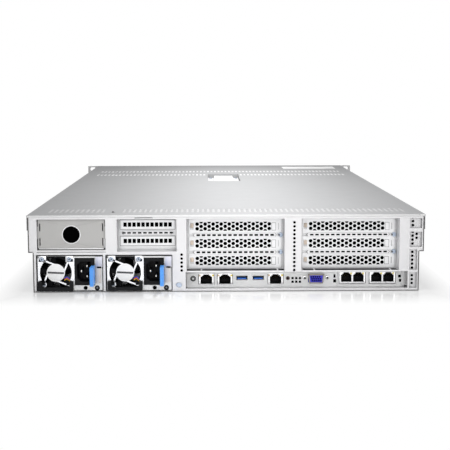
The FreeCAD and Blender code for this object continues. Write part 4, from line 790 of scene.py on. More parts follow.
@dataclass
class SupplyTrim:
    """The fittings on the rear face of one power supply.

    Attributes:
        number: 1 for the left supply, 2 for the right one.
        hub_radius: Radius of the fan's hub and of its label.
        bore_radius: Radius of the fan's bore.
        guard_sheet: Thickness of the finger guard.
        guard_shift: How far the guard sits to the right of the fan's axis, and above it.
        strut_width: Width of the guard's struts.
        foot_pad: Middle of the round pad at its lower left corner, from the hub's.
        screw_place: Distance of the upper screws from the hub's middle, each way.
        screw_radius: Radius of the screws' heads.
        screw_head: Height of the upper screws' heads.
        edge_width: Width of the black edge at the face's left.
    """

    number: int
    hub_radius: float = 10.2 * MM
    bore_radius: float = 17.8 * MM
    guard_sheet: float = 0.5 * MM
    guard_shift: float = 0.75 * MM
    strut_width: float = 1.7 * MM
    foot_pad: Spot = (-13.4 * MM, -13.4 * MM)
    screw_place: float = 15.3 * MM
    screw_radius: float = 2.7 * MM
    screw_head: float = 1.0 * MM
    edge_width: float = 1.3 * MM

    def __post_init__(self) -> None:
        """Reads the places of the case, the fan and the inlet from the frame."""
        self.body = f"supply_{self.number}"
        self.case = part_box(f"{self.body}_case")
        self.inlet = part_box(f"{self.body}_inlet")
        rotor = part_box(f"{self.body}_rotor")
        self.hub = Vector(((rotor[0].x + rotor[1].x) / 2 + self.guard_shift, REAR,
                           (rotor[0].z + rotor[1].z) / 2 + self.guard_shift))

    def piece(self, name: str) -> Workpiece:
        """Starts a piece that is named for this supply."""
        return Workpiece(f"{self.body}_{name}")

    def at(self, across: float, up: float, proud: float = 0.0) -> Vector:
        """Gives a point by its distances from the hub's middle, proud being out of the face."""
        return self.hub + Vector((across, -proud, up))

    def build(self) -> None:
        """Builds every fitting of this supply."""
        self.guard()
        self.label()
        self.screws()
        self.screw_recesses()
        self.edge()
        self.inlet_contacts()
        self.blocks()
        self.lamps()
        self.lead()

    def guard(self) -> None:
        """Builds the finger guard: a hub plate, four slanted struts, pads and side bands."""
        piece = self.piece("fan_guard")
        middle = self.at(0.0, 0.0, self.guard_sheet / 2)
        piece.drum(middle, self.hub_radius, self.guard_sheet, 48)
        self.guard_struts(piece, middle)
        self.guard_edges(piece, middle)
        piece.finish(GUARD_STEEL, self.body)

    def guard_struts(self, piece: Workpiece, middle: Vector) -> None:
        """Adds the four struts, which leave the hub plate on a slant.

        Args:
            piece: Workpiece of the guard.
            middle: Middle of the guard, in its thickness too.
        """
        reach = self.screw_place - 0.3 * self.screw_radius
        foot = (0.96 * self.hub_radius, 0.25 * self.hub_radius)
        lean = math.degrees(math.atan2(reach - foot[0], reach - foot[1]))
        length = math.hypot(reach - foot[0], reach - foot[1]) + self.strut_width
        centre = middle + Vector(((foot[0] + reach) / 2, 0.0, (foot[1] + reach) / 2))
        for quarter in range(4):
            strut = piece.bar(centre, (self.strut_width, self.guard_sheet, length), lean)
            piece.spin(strut, middle, 90.0 * quarter)

    def guard_edges(self, piece: Workpiece, middle: Vector) -> None:
        """Adds the corner pads and the bands beside the bore.

        Args:
            piece: Workpiece of the guard.
            middle: Middle of the guard, in its thickness too.
        """
        sheet, left_inset, rise = self.guard_sheet, 0.4 * MM, 0.3 * MM
        size = Vector((4.2 * MM, sheet / 2, 3.4 * MM))
        for side, inset in ((-1, left_inset), (1, 0.0)):
            centre = middle + Vector((side * (self.screw_place - inset), 0.0,
                                      self.screw_place + rise))
            piece.block(centre - size, centre + size, 0.2 * MM)
        near_edge = self.bore_radius + 1.3 * self.strut_width
        far_edge = self.bore_radius + 1.75 * self.strut_width
        piece.arc(middle, self.bore_radius, near_edge, (140.0, 68.0), sheet, squared=True)
        piece.arc(middle, self.bore_radius, far_edge, (-28.0, 68.0), sheet, squared=True)
        piece.drum(self.at(*self.foot_pad, sheet / 2), 3.0 * MM, sheet, 24)
        piece.drum(self.at(12.8 * MM, -12.4 * MM, sheet / 2), 1.6 * MM, sheet, 20)

    def label(self) -> None:
        """Lays the plain white label on the hub, with the dark bar across it."""
        piece = self.piece("hub_label")
        sheet = 0.25 * MM
        piece.drum(self.at(0.0, 0.0, self.guard_sheet + sheet / 2), self.hub_radius, sheet, 64,
                   rounded=0.1 * MM)
        piece.finish(WHITE_LABEL, self.body)
        bar = self.piece("hub_label_bar")
        size = (1.78 * self.hub_radius, 0.16 * MM, 0.21 * self.hub_radius)
        verts = bar.bar(self.at(0.0, 0.0, self.guard_sheet + sheet), size, 2.5)
        bar.soften(verts, 0.05 * MM)
        bar.finish(LABEL_BAR, self.body)

    def screws(self) -> None:
        """Drives the guard's screws: two pan heads above and a flat head below."""
        piece = self.piece("guard_screws")
        for side in (-1, 1):
            top = self.at(side * self.screw_place, self.screw_place,
                          self.guard_sheet + self.screw_head / 2)
            piece.drum(top, 0.75 * self.screw_radius, self.screw_head, 24,
                       far_radius=self.screw_radius)
        flat = 0.8 * self.screw_head
        piece.drum(self.at(*self.foot_pad, self.guard_sheet + flat / 2), 0.6 * self.screw_radius,
                   flat, 24, far_radius=0.8 * self.screw_radius)
        piece.finish(SCREW_STEEL, self.body)

    def screw_recesses(self) -> None:
        """Lays the cross recesses of the two upper screws as dark bars of painted shade."""
        piece = self.piece("guard_screw_recesses")
        proud = self.guard_sheet + self.screw_head
        for side in (-1, 1):
            top = self.at(side * self.screw_place, self.screw_place, proud)
            for lean in (20.0, 110.0):
                piece.bar(top, (self.screw_radius, 0.1 * MM, 0.24 * self.screw_radius), lean)
        piece.finish(HOLE_SHADE, self.body)

    def edge(self) -> None:
        """Frames the supply's rear face in black, with its widest side at the left."""
        piece = self.piece("face_edge")
        low, high = self.case
        narrow = 0.5 * self.edge_width
        front, back = REAR - 0.25 * MM, REAR + 0.05 * MM
        bottom, top = low.z + narrow, high.z - narrow
        piece.block((low.x, front, low.z), (high.x, back, bottom))
        piece.block((low.x, front, top), (high.x, back, high.z))
        piece.block((low.x, front, bottom), (low.x + self.edge_width, back, top))
        piece.block((high.x - narrow, front, bottom), (high.x, back, top))
        piece.finish(BLACK_PLASTIC, self.body)

    def inlet_contacts(self) -> None:
        """Sheathes the inlet's three pins in plated metal with rounded tips."""
        piece = self.piece("inlet_contacts")
        left, low = self.inlet[0].x + 2.6 * MM, self.inlet[0].z + 4.0 * MM
        width, height = 16.0 * MM, 23.0 * MM
        wide, tall = 0.85 * MM, 1.3 * MM
        near, far = REAR + 1.9 * MM, REAR + 15.0 * MM
        for share_across, share_up in ((0.7, 0.25), (0.7, 0.75), (0.3, 0.5)):
            across, up = left + share_across * width, low + share_up * height
            piece.block((across - wide, near, up - tall), (across + wide, far, up + tall),
                        0.7 * MM)
        piece.finish(CONTACT_NICKEL, self.body)

    def blocks(self) -> None:
        """Faces the two raised blocks beside the latch with their own sheets."""
        left, right = self.case[0].x + 66.2 * MM, self.case[1].x
        front, floor = self.case[0].y, self.case[0].z
        foot, split, top = floor + 9.8 * MM, floor + 26.8 * MM, floor + 39.0 * MM
        seam, border = 0.5 * MM, 0.7 * MM
        for name, low, high, margin, finish in (
                ("upper_block", split + seam, top, 0.5 * MM, LAVENDER_BLOCK),
                ("lower_block", foot, split - seam, 2.2 * MM, BEIGE_BLOCK)):
            piece = self.piece(name)
            piece.block((left + 0.2 * MM, front - 0.3 * MM, low),
                        (right - margin, front + 0.1 * MM, high), 0.12 * MM)
            piece.block((left + 0.2 * MM + border, front - 0.4 * MM, low + border),
                        (right - margin - border, front - 0.25 * MM, high - border), 0.05 * MM)
            piece.finish(finish, self.body)
        # The gap between the two blocks is a dark strip of painted shade.
        gap, inset = self.piece("block_gap"), 1.6 * MM
        gap.block((left + inset, front - 0.45 * MM, split - 0.7 * MM),
                  (right - inset, front, split + 1.1 * MM), 0.1 * MM)
        gap.finish(HOLE_SHADE, self.body)

    def lamps(self) -> None:
        """Puts a dark well of painted shade in the screw hole and behind the lamp, and rings the
        lamp.
        """
        left, up = self.case[0].x, self.case[0].z + 3.4 * MM
        hole, lamp = (Vector((left + across, REAR, up)) for across in (54.6 * MM, 67.7 * MM))
        well = self.piece("lamp_wells")
        for place in (hole, lamp):
            well.drum(place + Vector((0.0, 0.9 * MM, 0.0)), 2.25 * MM, 1.0 * MM, 32,
                      rounded=0.2 * MM)
        well.finish(HOLE_SHADE, self.body)
        ring = self.piece("lamp_ring")
        ring.ring(lamp - Vector((0.0, 0.15 * MM, 0.0)), 1.5 * MM, 2.9 * MM, 0.3 * MM)
        ring.finish(BLACK_PLASTIC, self.body)
        lens = self.piece("lamp_lens")
        lens.drum(lamp + Vector((0.0, 0.25 * MM, 0.0)), 1.1 * MM, 0.5 * MM, 24,
                  rounded=0.2 * MM)
        lens.finish(LEVER_PLASTIC, self.body)

    def lead(self) -> None:
        """Lays the fan's three wires in a short fixed run beside the hub."""
        radius, proud = 0.55 * MM, self.guard_sheet + 0.45 * MM
        wire_run = ((9.6 * MM, -6.2 * MM), (12.4 * MM, -4.4 * MM),
                    (13.6 * MM, -5.2 * MM), (15.4 * MM, -7.4 * MM))
        for name, drop, finish in (("blue", 0.0, WIRE_BLUE), ("red", 1.2 * MM, WIRE_RED),
                                   ("yellow", 2.3 * MM, WIRE_YELLOW)):
            piece = self.piece(f"fan_wire_{name}")
            piece.tube([self.at(across, up - drop, proud) for across, up in wire_run], radius)
            piece.finish(finish, self.body)


@dataclass(frozen=True)
class JackPlace:
    """Where one network jack sits, in metres from the case's left edge and above the floor.

    Attributes:
        middle: Middle of its mouth, across.
        low: Lower edge of the mouth.
        half: Half the mouth's width.
        frame: Left and right edge of the plated frame round it, from the mouth's middle.
        sunk: How far the frame's lower edge reaches below the mouth.
        single: Whether it stands alone, with a lens on each side.
    """

    middle: float
    low: float
    half: float
    frame: Spot
    sunk: float
    single: bool


@dataclass
class PortTrim:
    """The ports along the rear edge of the board, with their plates and lamps.

    Attributes:
        left: Left edge of the case, which the places across are measured from.
        face: The recessed port plate's rear surface.
        proud: How far the jacks stand out of the plate.
        board_jacks: Middle of each jack on the board.
        card_jacks: Middle of each jack on the card, in two pairs.
        shoulder: Height of the mouth below the catch's step.
        step: Height of each of the two steps for the plug's catch.
        mouth_depth: Depth of the mouth.
        shell_depth: Depth of the plated shell.
        lips: Left, right and lower edge of the fold above each plate.
        plate_slots: Left, right, lower and upper edge of each small dark slot.
        usb_ports: Middle of each flat socket.
        usb_low: Lower edge of their shells.
        usb_high: Upper edge of their shells.
        video_middle: Middle of the video socket.
        video_rise: Its height above the floor.
        video_posts: Middle of each hex post.
        button_place: Middle of the identification button, across and in height.
        lamp_hole: Middle of the rimmed lamp hole.
    """

    left: float = -223.0 * MM
    face: float = REAR + 20.0 * MM
    proud: float = 1.0 * MM
    board_jacks: tuple[float, ...] = (200.2 * MM, 221.5 * MM, 279.4 * MM)
    card_jacks: tuple[float, ...] = (360.4 * MM, 374.3 * MM, 395.0 * MM, 408.7 * MM)
    shoulder: float = 8.4 * MM
    step: float = 1.3 * MM
    mouth_depth: float = 13.0 * MM
    shell_depth: float = 20.0 * MM
    lips: tuple[Point, ...] = ((178.0 * MM, 349.6 * MM, 17.3 * MM),
                               (350.4 * MM, 426.6 * MM, 17.9 * MM))
    plate_slots: tuple[Band, ...] = ((345.9 * MM, 348.2 * MM, 11.7 * MM, 15.7 * MM),
                                     (345.6 * MM, 349.0 * MM, 6.2 * MM, 9.9 * MM),
                                     (420.0 * MM, 423.4 * MM, 11.6 * MM, 14.8 * MM),
                                     (421.2 * MM, 423.6 * MM, 6.6 * MM, 10.0 * MM))
    usb_ports: tuple[float, ...] = (240.9 * MM, 259.6 * MM)
    usb_low: float = 9.3 * MM
    usb_high: float = 14.7 * MM
    video_middle: float = 325.6 * MM
    video_rise: float = 11.2 * MM
    video_posts: Spot = (312.7 * MM, 338.3 * MM)
    button_place: Spot = (185.1 * MM, 11.4 * MM)
    lamp_hole: Spot = (293.5 * MM, 11.4 * MM)

    def at(self, across: float, up: float, proud: float = 0.0) -> Vector:
        """Gives a point of the port plate's face, by its place from the case's left edge."""
        return Vector((self.left + across, self.face - proud, up))

    def box(self, piece: Workpiece, area: Band, near: float, far: float,
            rounded: float = 0.0) -> None:
        """Adds a block by its area on the port plate and how far its surfaces stand out."""
        left, right, low, high = area
        piece.block(self.at(left, low, near), self.at(right, high, far), rounded)

    def places(self) -> list[JackPlace]:
        """Lists the seven jacks.

        Returns:
            The three jacks on the board, then the two pairs on the card.
        """
        wide, outer, inner = 8.7 * MM, 8.2 * MM, 6.9 * MM
        board = [JackPlace(middle, 5.3 * MM, 6.6 * MM, (-wide, wide), 0.5 * MM, True)
                 for middle in self.board_jacks]
        card = [JackPlace(middle, 7.0 * MM, 6.1 * MM,
                          (-outer, inner) if index % 2 == 0 else (-inner, outer), 2.0 * MM, False)
                for index, middle in enumerate(self.card_jacks)]
        return board + card

    def build(self) -> None:
        """Builds every port."""
        self.jack_shells()
        self.jack_liners()
        self.jack_contacts()
        self.jack_lamps()
        self.plate_lips()
        self.dark_slots()
        self.usb_sockets()
        self.video_shell()
        self.video_holes()
        self.hex_posts()
        self.button_rings()
        self.shell_shade_outlines()
        self.lamp_holes()

    def jack_shells(self) -> None:
        """Builds the plated jack shells, whose stepped mouths stand in for the solids."""
        piece = Workpiece("jack_shells")
        front, back = self.proud, self.proud - 0.5 * MM
        for jack in self.places():
            west, east = jack.middle + jack.frame[0], jack.middle + jack.frame[1]
            low, body = jack.low - jack.sunk, jack.low + self.shoulder
            key = body + 2 * self.step
            high = key + 0.9 * MM
            half, narrow, thin = jack.half, 0.76 * jack.half, 0.53 * jack.half
            for start, end, bottom, top in (
                    (west, jack.middle - half, low, high), (jack.middle + half, east, low, high),
                    (jack.middle - half, jack.middle + half, low, jack.low),
                    (jack.middle - half, jack.middle + half, key, high),
                    (jack.middle - half, jack.middle - narrow, body, key),
                    (jack.middle + narrow, jack.middle + half, body, key),
                    (jack.middle - narrow, jack.middle - thin, body + self.step, key),
                    (jack.middle + thin, jack.middle + narrow, body + self.step, key)):
                self.box(piece, (start, end, bottom, top), front, back)
            piece.sleeve(self.at(west, low, back), self.at(east, high, -self.shell_depth),
                         0.4 * MM)
        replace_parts(piece.finish(PORT_METAL), "network_jacks")

    def jack_liners(self) -> None:
        """Lines each mouth with a black insert that is closed at its far end."""
        piece = Workpiece("jack_liners")
        wall = 0.25 * MM
        front, back = self.proud - 0.5 * MM, self.proud - self.mouth_depth
        for jack in self.places():
            west, east = jack.middle - jack.half, jack.middle + jack.half
            low, high = jack.low, jack.low + self.shoulder + 2 * self.step
            for area in ((west - wall, west, low, high), (east, east + wall, low, high),
                         (west - wall, east + wall, low - wall, low),
                         (west - wall, east + wall, high, high + wall)):
                self.box(piece, area, front, back)
            self.box(piece, (west, east, low, high), back + wall, back)
        piece.finish(SOCKET_BLACK)

    def jack_contacts(self) -> None:
        """Hangs eight slanted spring wires in each mouth."""
        piece = Workpiece("jack_contacts")
        pitch, rise, drop = 1.02 * MM, 1.0 * MM, 4.2 * MM
        near, far = -4.0 * MM, -10.0 * MM
        for jack in self.places():
            high = jack.low + self.shoulder
            for number in range(8):
                across = jack.middle + (number - 3.5) * pitch
                piece.tube([self.at(across, high + rise, near), self.at(across, high - drop, far)],
                           0.2 * MM, 4)
        piece.finish(CONTACT_GOLD)

    def jack_lamps(self) -> None:
        """Sets a tan lens and a yellow lens beside the step of each mouth."""
        for name, side, finish in (("tan", -1, AMBER_LENS), ("yellow", 1, YELLOW_LENS)):
            piece = Workpiece(f"jack_lamps_{name}")
            for jack in self.places():
                if side < 0 and not jack.single:
                    continue
                lap, width = (0.3 * MM, 2.1 * MM) if jack.single else (1.5 * MM, 1.7 * MM)
                inner = jack.middle + side * (jack.half - lap)
                left, right = sorted((inner, inner + side * width))
                low = jack.low + self.shoulder + 0.3 * MM
                self.box(piece, (left, right, low, low + 2.1 * MM), self.proud + 0.15 * MM,
                         self.proud - 0.3 * MM, 0.1 * MM)
            piece.finish(finish)

    def plate_lips(self) -> None:
        """Folds the lips above the two port plates, and raises the card plate's strips."""
        piece = Workpiece("port_plate_lips")
        strips = ((350.4 * MM, 352.1 * MM), (381.7 * MM, 386.3 * MM), (417.3 * MM, 419.2 * MM))
        foot, top = 4.2 * MM, 21.2 * MM
        for start, end, low in self.lips:
            self.box(piece, (start, end, low, top), 1.2 * MM, 0.0, 0.5 * MM)
        for start, end in strips:
            self.box(piece, (start, end, foot, self.lips[1][2]), 0.5 * MM, 0.0)
        half, low, high = 7.4 * MM, self.usb_high + 0.05 * MM, 17.6 * MM
        for port in self.usb_ports:
            self.box(piece, (port - half, port + half, low, high), 0.9 * MM, 0.0, 0.2 * MM)
        piece.finish(LIT_PORT_PLATE)

    def dark_slots(self) -> None:
        """Fills the small slots of the two port plates with dark painted shade."""
        piece = Workpiece("port_plate_slots")
        for area in self.plate_slots:
            self.box(piece, area, 0.1 * MM, -0.1 * MM, 0.3 * MM)
        piece.finish(HOLE_SHADE)

    def usb_sockets(self) -> None:
        """Builds the two flat sockets: a plated shell, a black insert and a blue tongue."""
        shells, inserts = Workpiece("usb_shells"), Workpiece("usb_inserts")
        tongues, contacts = Workpiece("usb_tongues"), Workpiece("usb_contacts")
        low, high, far = self.usb_low, self.usb_high, -12.5 * MM
        tongue_low, tongue_high = low + 1.35 * MM, low + 2.6 * MM
        for port in self.usb_ports:
            for piece, half, wall, drop in ((shells, 6.7 * MM, 0.25 * MM, 0.0),
                                            (inserts, 6.42 * MM, 0.3 * MM, 0.27 * MM)):
                piece.sleeve(self.at(port - half, low + drop, self.proud + drop / 4),
                             self.at(port + half, high - drop, far), wall)
            half = 6.3 * MM
            self.box(inserts, (port - half, port + half, low, high), -11.5 * MM, -12.0 * MM)
            half = 5.1 * MM
            self.box(tongues, (port - half, port + half, tongue_low, tongue_high), 0.5 * MM,
                     -11.5 * MM, 0.2 * MM)
            half = 0.5 * MM
            for number in range(4):
                across = port + (number - 1.5) * 2.3 * MM
                self.box(contacts, (across - half, across + half, low + 1.2 * MM, tongue_low),
                         0.2 * MM, -8.0 * MM)
        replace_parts(shells.finish(PORT_METAL), "usb_ports")
        inserts.finish(SOCKET_BLACK)
        tongues.finish(USB_BLUE)
        contacts.finish(CONTACT_GOLD)

    def video_shell(self) -> None:
        """Plates the video socket's shell, whose two sides slant inwards to its lower edge."""
        piece = Workpiece("video_shell")
        middle, wall, taper = self.video_middle, 1.2 * MM, 1.6 * MM
        half, rise = 9.2 * MM, 5.2 * MM
        low, high = self.video_rise - rise, self.video_rise + rise
        near, far = 5.1 * MM, 0.4 * MM
        self.box(piece, (middle - half, middle + half, high - wall, high), near, far, 0.2 * MM)
        self.box(piece, (middle - half + taper, middle + half - taper, low, low + wall), near,
                 far, 0.2 * MM)
        lean = math.degrees(math.atan2(taper, high - low))
        for side in (-1, 1):
            across = middle + side * (half - taper / 2 - wall / 2)
            verts = piece.block(self.at(across - wall / 2, low, near),
                                self.at(across + wall / 2, high, far))
            piece.spin(verts, self.at(across, self.video_rise), side * lean)
        piece.finish(VIDEO_SHELL)

    def video_holes(self) -> None:
        """Sets fifteen dark discs of painted shade, in three staggered rows, as the holes of the
        video socket.
        """
        piece = Workpiece("video_holes")
        pitch, row_pitch, stagger = 2.4 * MM, 2.2 * MM, 0.8 * MM
        for row in (-1, 0, 1):
            for number in range(-2, 3):
                across = self.video_middle + number * pitch + row * stagger
                piece.drum(self.at(across, self.video_rise - row * row_pitch, 3.85 * MM),
                           0.92 * MM, 0.4 * MM, 12)
        piece.finish(HOLE_SHADE)

    def hex_posts(self) -> None:
        """Screws a bored hex post into the plate on each side of the video socket."""
        posts, bores = Workpiece("video_posts"), Workpiece("video_post_bores")
        up, length = self.video_rise + 1.0 * MM, 3.2 * MM
        for across in self.video_posts:
            posts.drum(self.at(across, up, length / 2), 2.4 * MM, length, 6, rounded=0.25 * MM)
            # Each bore is a dark disc of painted shade.
            bores.drum(self.at(across, up, length), 1.2 * MM, 0.3 * MM, 16)
        posts.finish(PORT_METAL)
        bores.finish(HOLE_SHADE)

    def button_rings(self) -> None:
        """Rings the identification button on the plate, and lays a band on the button."""
        rim = Workpiece("button_ring")
        rim.ring(self.at(*self.button_place, 0.3 * MM), 2.35 * MM, 3.2 * MM, 0.6 * MM)
        rim.finish(RING_BLACK)
        band = Workpiece("button_band")
        middle = self.at(*self.button_place)
        middle.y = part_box("uid_button")[0].y - 0.05 * MM
        band.ring(middle, 1.3 * MM, 2.2 * MM, 0.15 * MM)
        band.finish(RING_BLACK, "uid_button")

    def shell_shade_outlines(self) -> None:
        """Draws lines of painted shade beside the jacks' shells, and under the card's pairs."""
        piece = Workpiece("port_shade_outlines")
        sills = ((352.0 * MM, 381.8 * MM), (386.4 * MM, 416.9 * MM))
        near, far, half = self.proud + 0.1 * MM, 0.2 * MM, 0.3 * MM
        for jack in self.places():
            for edge in jack.frame:
                across = jack.middle + edge
                if abs(edge) > 7.5 * MM:
                    self.box(piece, (across - half, across + half, jack.low - jack.sunk,
                                     jack.low + 11.4 * MM), near, far)
        for start, end in sills:
            self.box(piece, (start, end, 4.5 * MM, 4.9 * MM), near, far)
        piece.finish(SHADE_LINE)

    def lamp_holes(self) -> None:
        """Sinks the round lamp hole with its rim, and the six square windows beside it; the hole
        and the windows are dark with painted shade.
        """
        well = Workpiece("lamp_hole_well")
        across, up = 299.0 * MM, 11.4 * MM
        pitch, width = 4.2 * MM, 2.6 * MM
        well.drum(self.at(*self.lamp_hole, -0.8 * MM), 2.5 * MM, 0.5 * MM, 24)
        for row in range(2):
            for number in range(3):
                well.bar(self.at(across + number * pitch, up - row * pitch),
                         (width, 0.24 * MM, width))
        well.finish(HOLE_SHADE)
        rim = Workpiece("lamp_hole_rim")
        rim.ring(self.at(*self.lamp_hole, 0.15 * MM), 1.3 * MM, 2.3 * MM, 0.3 * MM, 24)
        rim.finish(BROWN_RIM)


@dataclass
class ExpansionTrim:
    """The fittings of the three expansion cages: sheets of painted shade behind them, gaskets, pads
    and bar marks.

    Attributes:
        face: The plane that the slot covers stand on.
        rows: Heights of the full slots.
        small_rows: Heights of the two short slots.
        risers: Middle of each full cage, across.
        centre: Middle of the short cage, across.
        dash_pitch: Distance between two dashes of a bar.
        dash_count: Dashes in a full cage's bar, and in the short cage's.
        bar_reach: Half the length of a full bar, and of the short one.
        vent_columns: Middle, first hole's height and count of the two columns of vents.
        gaskets_cut: Start, middle of each gap, and end of each cage's gasket.
    """

    face: float = REAR + 20.0 * MM
    rows: tuple[float, ...] = (32.2 * MM, 51.9 * MM, 71.6 * MM)
    small_rows: Spot = (55.3 * MM, 74.0 * MM)
    risers: Spot = (10.2 * MM, 139.4 * MM)
    centre: float = -89.25 * MM
    dash_pitch: float = 6.0 * MM
    dash_count: tuple[int, int] = (15, 10)
    bar_reach: Spot = (48.0 * MM, 29.0 * MM)
    vent_columns: tuple[tuple[float, float, int], ...] = ((-50.4 * MM, 24.2 * MM, 5),
                                                          (76.2 * MM, 24.2 * MM, 13))
    gaskets_cut: tuple[Band, ...] = ((178.4 * MM, 194.8 * MM, 280.9 * MM, 287.9 * MM),
                                     (309.9 * MM, 322.4 * MM, 408.7 * MM, 416.1 * MM))

    def build(self) -> None:
        """Builds every fitting of the cages."""
        self.shade_sheets()
        self.bar_dashes()
        self.bar_ends()
        self.gaskets()
        self.pads()
        self.shade_outlines()

    def plate(self, piece: Workpiece, across: float, up: float, size: Spot, near: float,
              far: float, rounded: float = 0.0) -> None:
        """Adds a plate round a point, between two distances out of the covers' plane."""
        piece.block((across - size[0] / 2, self.face - near, up - size[1] / 2),
                    (across + size[0] / 2, self.face - far, up + size[1] / 2), rounded)

    def covers(self) -> list[Spot]:
        """Gives the middle of each full cover, across and in height."""
        return [(riser, row) for riser in self.risers for row in self.rows]

    def bars(self) -> list[tuple[float, float, int]]:
        """Lists the slotted bars between the covers.

        Returns:
            The middle of each, across and in height, and 0 for a full or 1 for a short one.
        """
        full = [(riser, (low + high) / 2, 0)
                for riser in self.risers for low, high in zip(self.rows, self.rows[1:])]
        return [*full, (self.centre, sum(self.small_rows) / 2, 1)]

    def shade_sheets(self) -> None:
        """Puts dark sheets of painted shade behind the cages and the vents, so that their holes
        stay dark.
        """
        piece = Workpiece("slot_shade_sheets")
        full_size, short_size = (96.0 * MM, 15.6 * MM), (60.0 * MM, 9.4 * MM)
        near, far = -1.4 * MM, -1.8 * MM
        for across, up in self.covers():
            self.plate(piece, across, up, full_size, near, far)
        for row in self.small_rows:
            self.plate(piece, self.centre, row, short_size, near, far)
        half, rise, pitch = 3.0 * MM, 2.2 * MM, 4.5 * MM
        for across, start, count in self.vent_columns:
            middle = start + (count - 1) * pitch / 2
            piece.block((across - half, REAR + 1.5 * MM, middle - count * rise),
                        (across + half, REAR + 1.9 * MM, middle + count * rise))
        left, right, low, high = 208.0 * MM, 216.4 * MM, 5.0 * MM, 83.0 * MM
        piece.block((left, REAR + 6.5 * MM, low), (right, REAR + 6.9 * MM, high))
        piece.finish(HOLE_SHADE)

    def bar_dashes(self) -> None:
        """Darkens the dashes of the bars with painted shade; they stand out most on the first full
        cage.
        """
        piece = Workpiece("bar_dashes")
        for middle, up, kind in self.bars():
            count, wide = self.dash_count[kind], 3.7 * MM
            tall, near = 1.5 * MM, 1.6 * MM
            if middle == self.risers[0]:
                tall, near = 2.1 * MM, 2.08 * MM
            for number in range(count):
                across = middle + (number - (count - 1) / 2) * self.dash_pitch
                self.plate(piece, across, up, (wide, tall), near, 0.95 * MM)
        piece.finish(HOLE_SHADE)

    def bar_ends(self) -> None:
        """Draws the round, the three-sided and the pointed marks at the ends of the bars as painted
        edge shade.
        """
        piece = Workpiece("bar_end_marks")
        near = self.face - 2.05 * MM
        for middle, up, kind in self.bars():
            reach = self.bar_reach[kind]
            edge = Vector((middle - reach + 1.9 * MM, near, up))
            piece.arc(edge, 1.2 * MM, 1.75 * MM, (100.0, 160.0), 0.2 * MM, 10)
            if kind == 0:
                screw = Vector((middle + 50.0 * MM, self.face - 2.2 * MM, up))
                piece.drum(screw, 1.5 * MM, 0.25 * MM, 3)
            tip = Vector((middle + reach - 1.75 * MM, near, up))
            for side in (-1, 1):
                piece.bar(tip + Vector((0.0, 0.0, side * 0.75 * MM)),
                          (2.2 * MM, 0.14 * MM, 0.44 * MM), side * 45.0)
        piece.finish(EDGE_SHADE)

    def gaskets(self) -> None:
        """Lays the black gasket along the floor of each full cage, with its two gaps."""
        piece = Workpiece("cage_gaskets")
        left, floor, half_gap = -223.0 * MM, 23.3 * MM, 1.0 * MM
        for start, gap_one, gap_two, end in self.gaskets_cut:
            for low, high in ((start, gap_one - half_gap), (gap_one + half_gap, gap_two - half_gap),
                              (gap_two + half_gap, end)):
                piece.block((left + low, REAR + 4.3 * MM, floor),
                            (left + high, REAR + 13.6 * MM, floor + 0.35 * MM), 0.1 * MM)
        piece.finish(SOCKET_BLACK)

    def pads(self) -> None:
        """Fits a beige pad into the tab hole at the left end of each full cover."""
        piece = Workpiece("cover_pads")
        aside, rise, size = -49.2 * MM, 1.0 * MM, (3.6 * MM, 5.0 * MM)
        for across, up in self.covers():
            self.plate(piece, across + aside, up + rise, size, 1.7 * MM, 0.0, 0.5 * MM)
        piece.finish(BEIGE_PAD)

    def shade_outlines(self) -> None:
        """Outlines the pressed slot at the right end of each cover, and the short covers' gaps,
        with painted shade.
        """
        piece = Workpiece("cover_shade_outlines")
        aside, drop, line = 43.9 * MM, 0.3 * MM, 0.35 * MM
        slot, short_cover = (4.6 * MM, 8.6 * MM), (62.4 * MM, 11.0 * MM)
        outlines = [(across + aside, up - drop, slot, 1.05 * MM) for across, up in self.covers()]
        outlines += [(self.centre, row, short_cover, 0.5 * MM) for row in self.small_rows]
        for across, up, (width, height), near in outlines:
            wide, tall = (width + line) / 2, (height + line) / 2
            piece.sleeve((across - wide, self.face - near, up - tall),
                         (across + wide, self.face - near + 0.3 * MM, up + tall), line)
        piece.finish(SHADE_LINE)


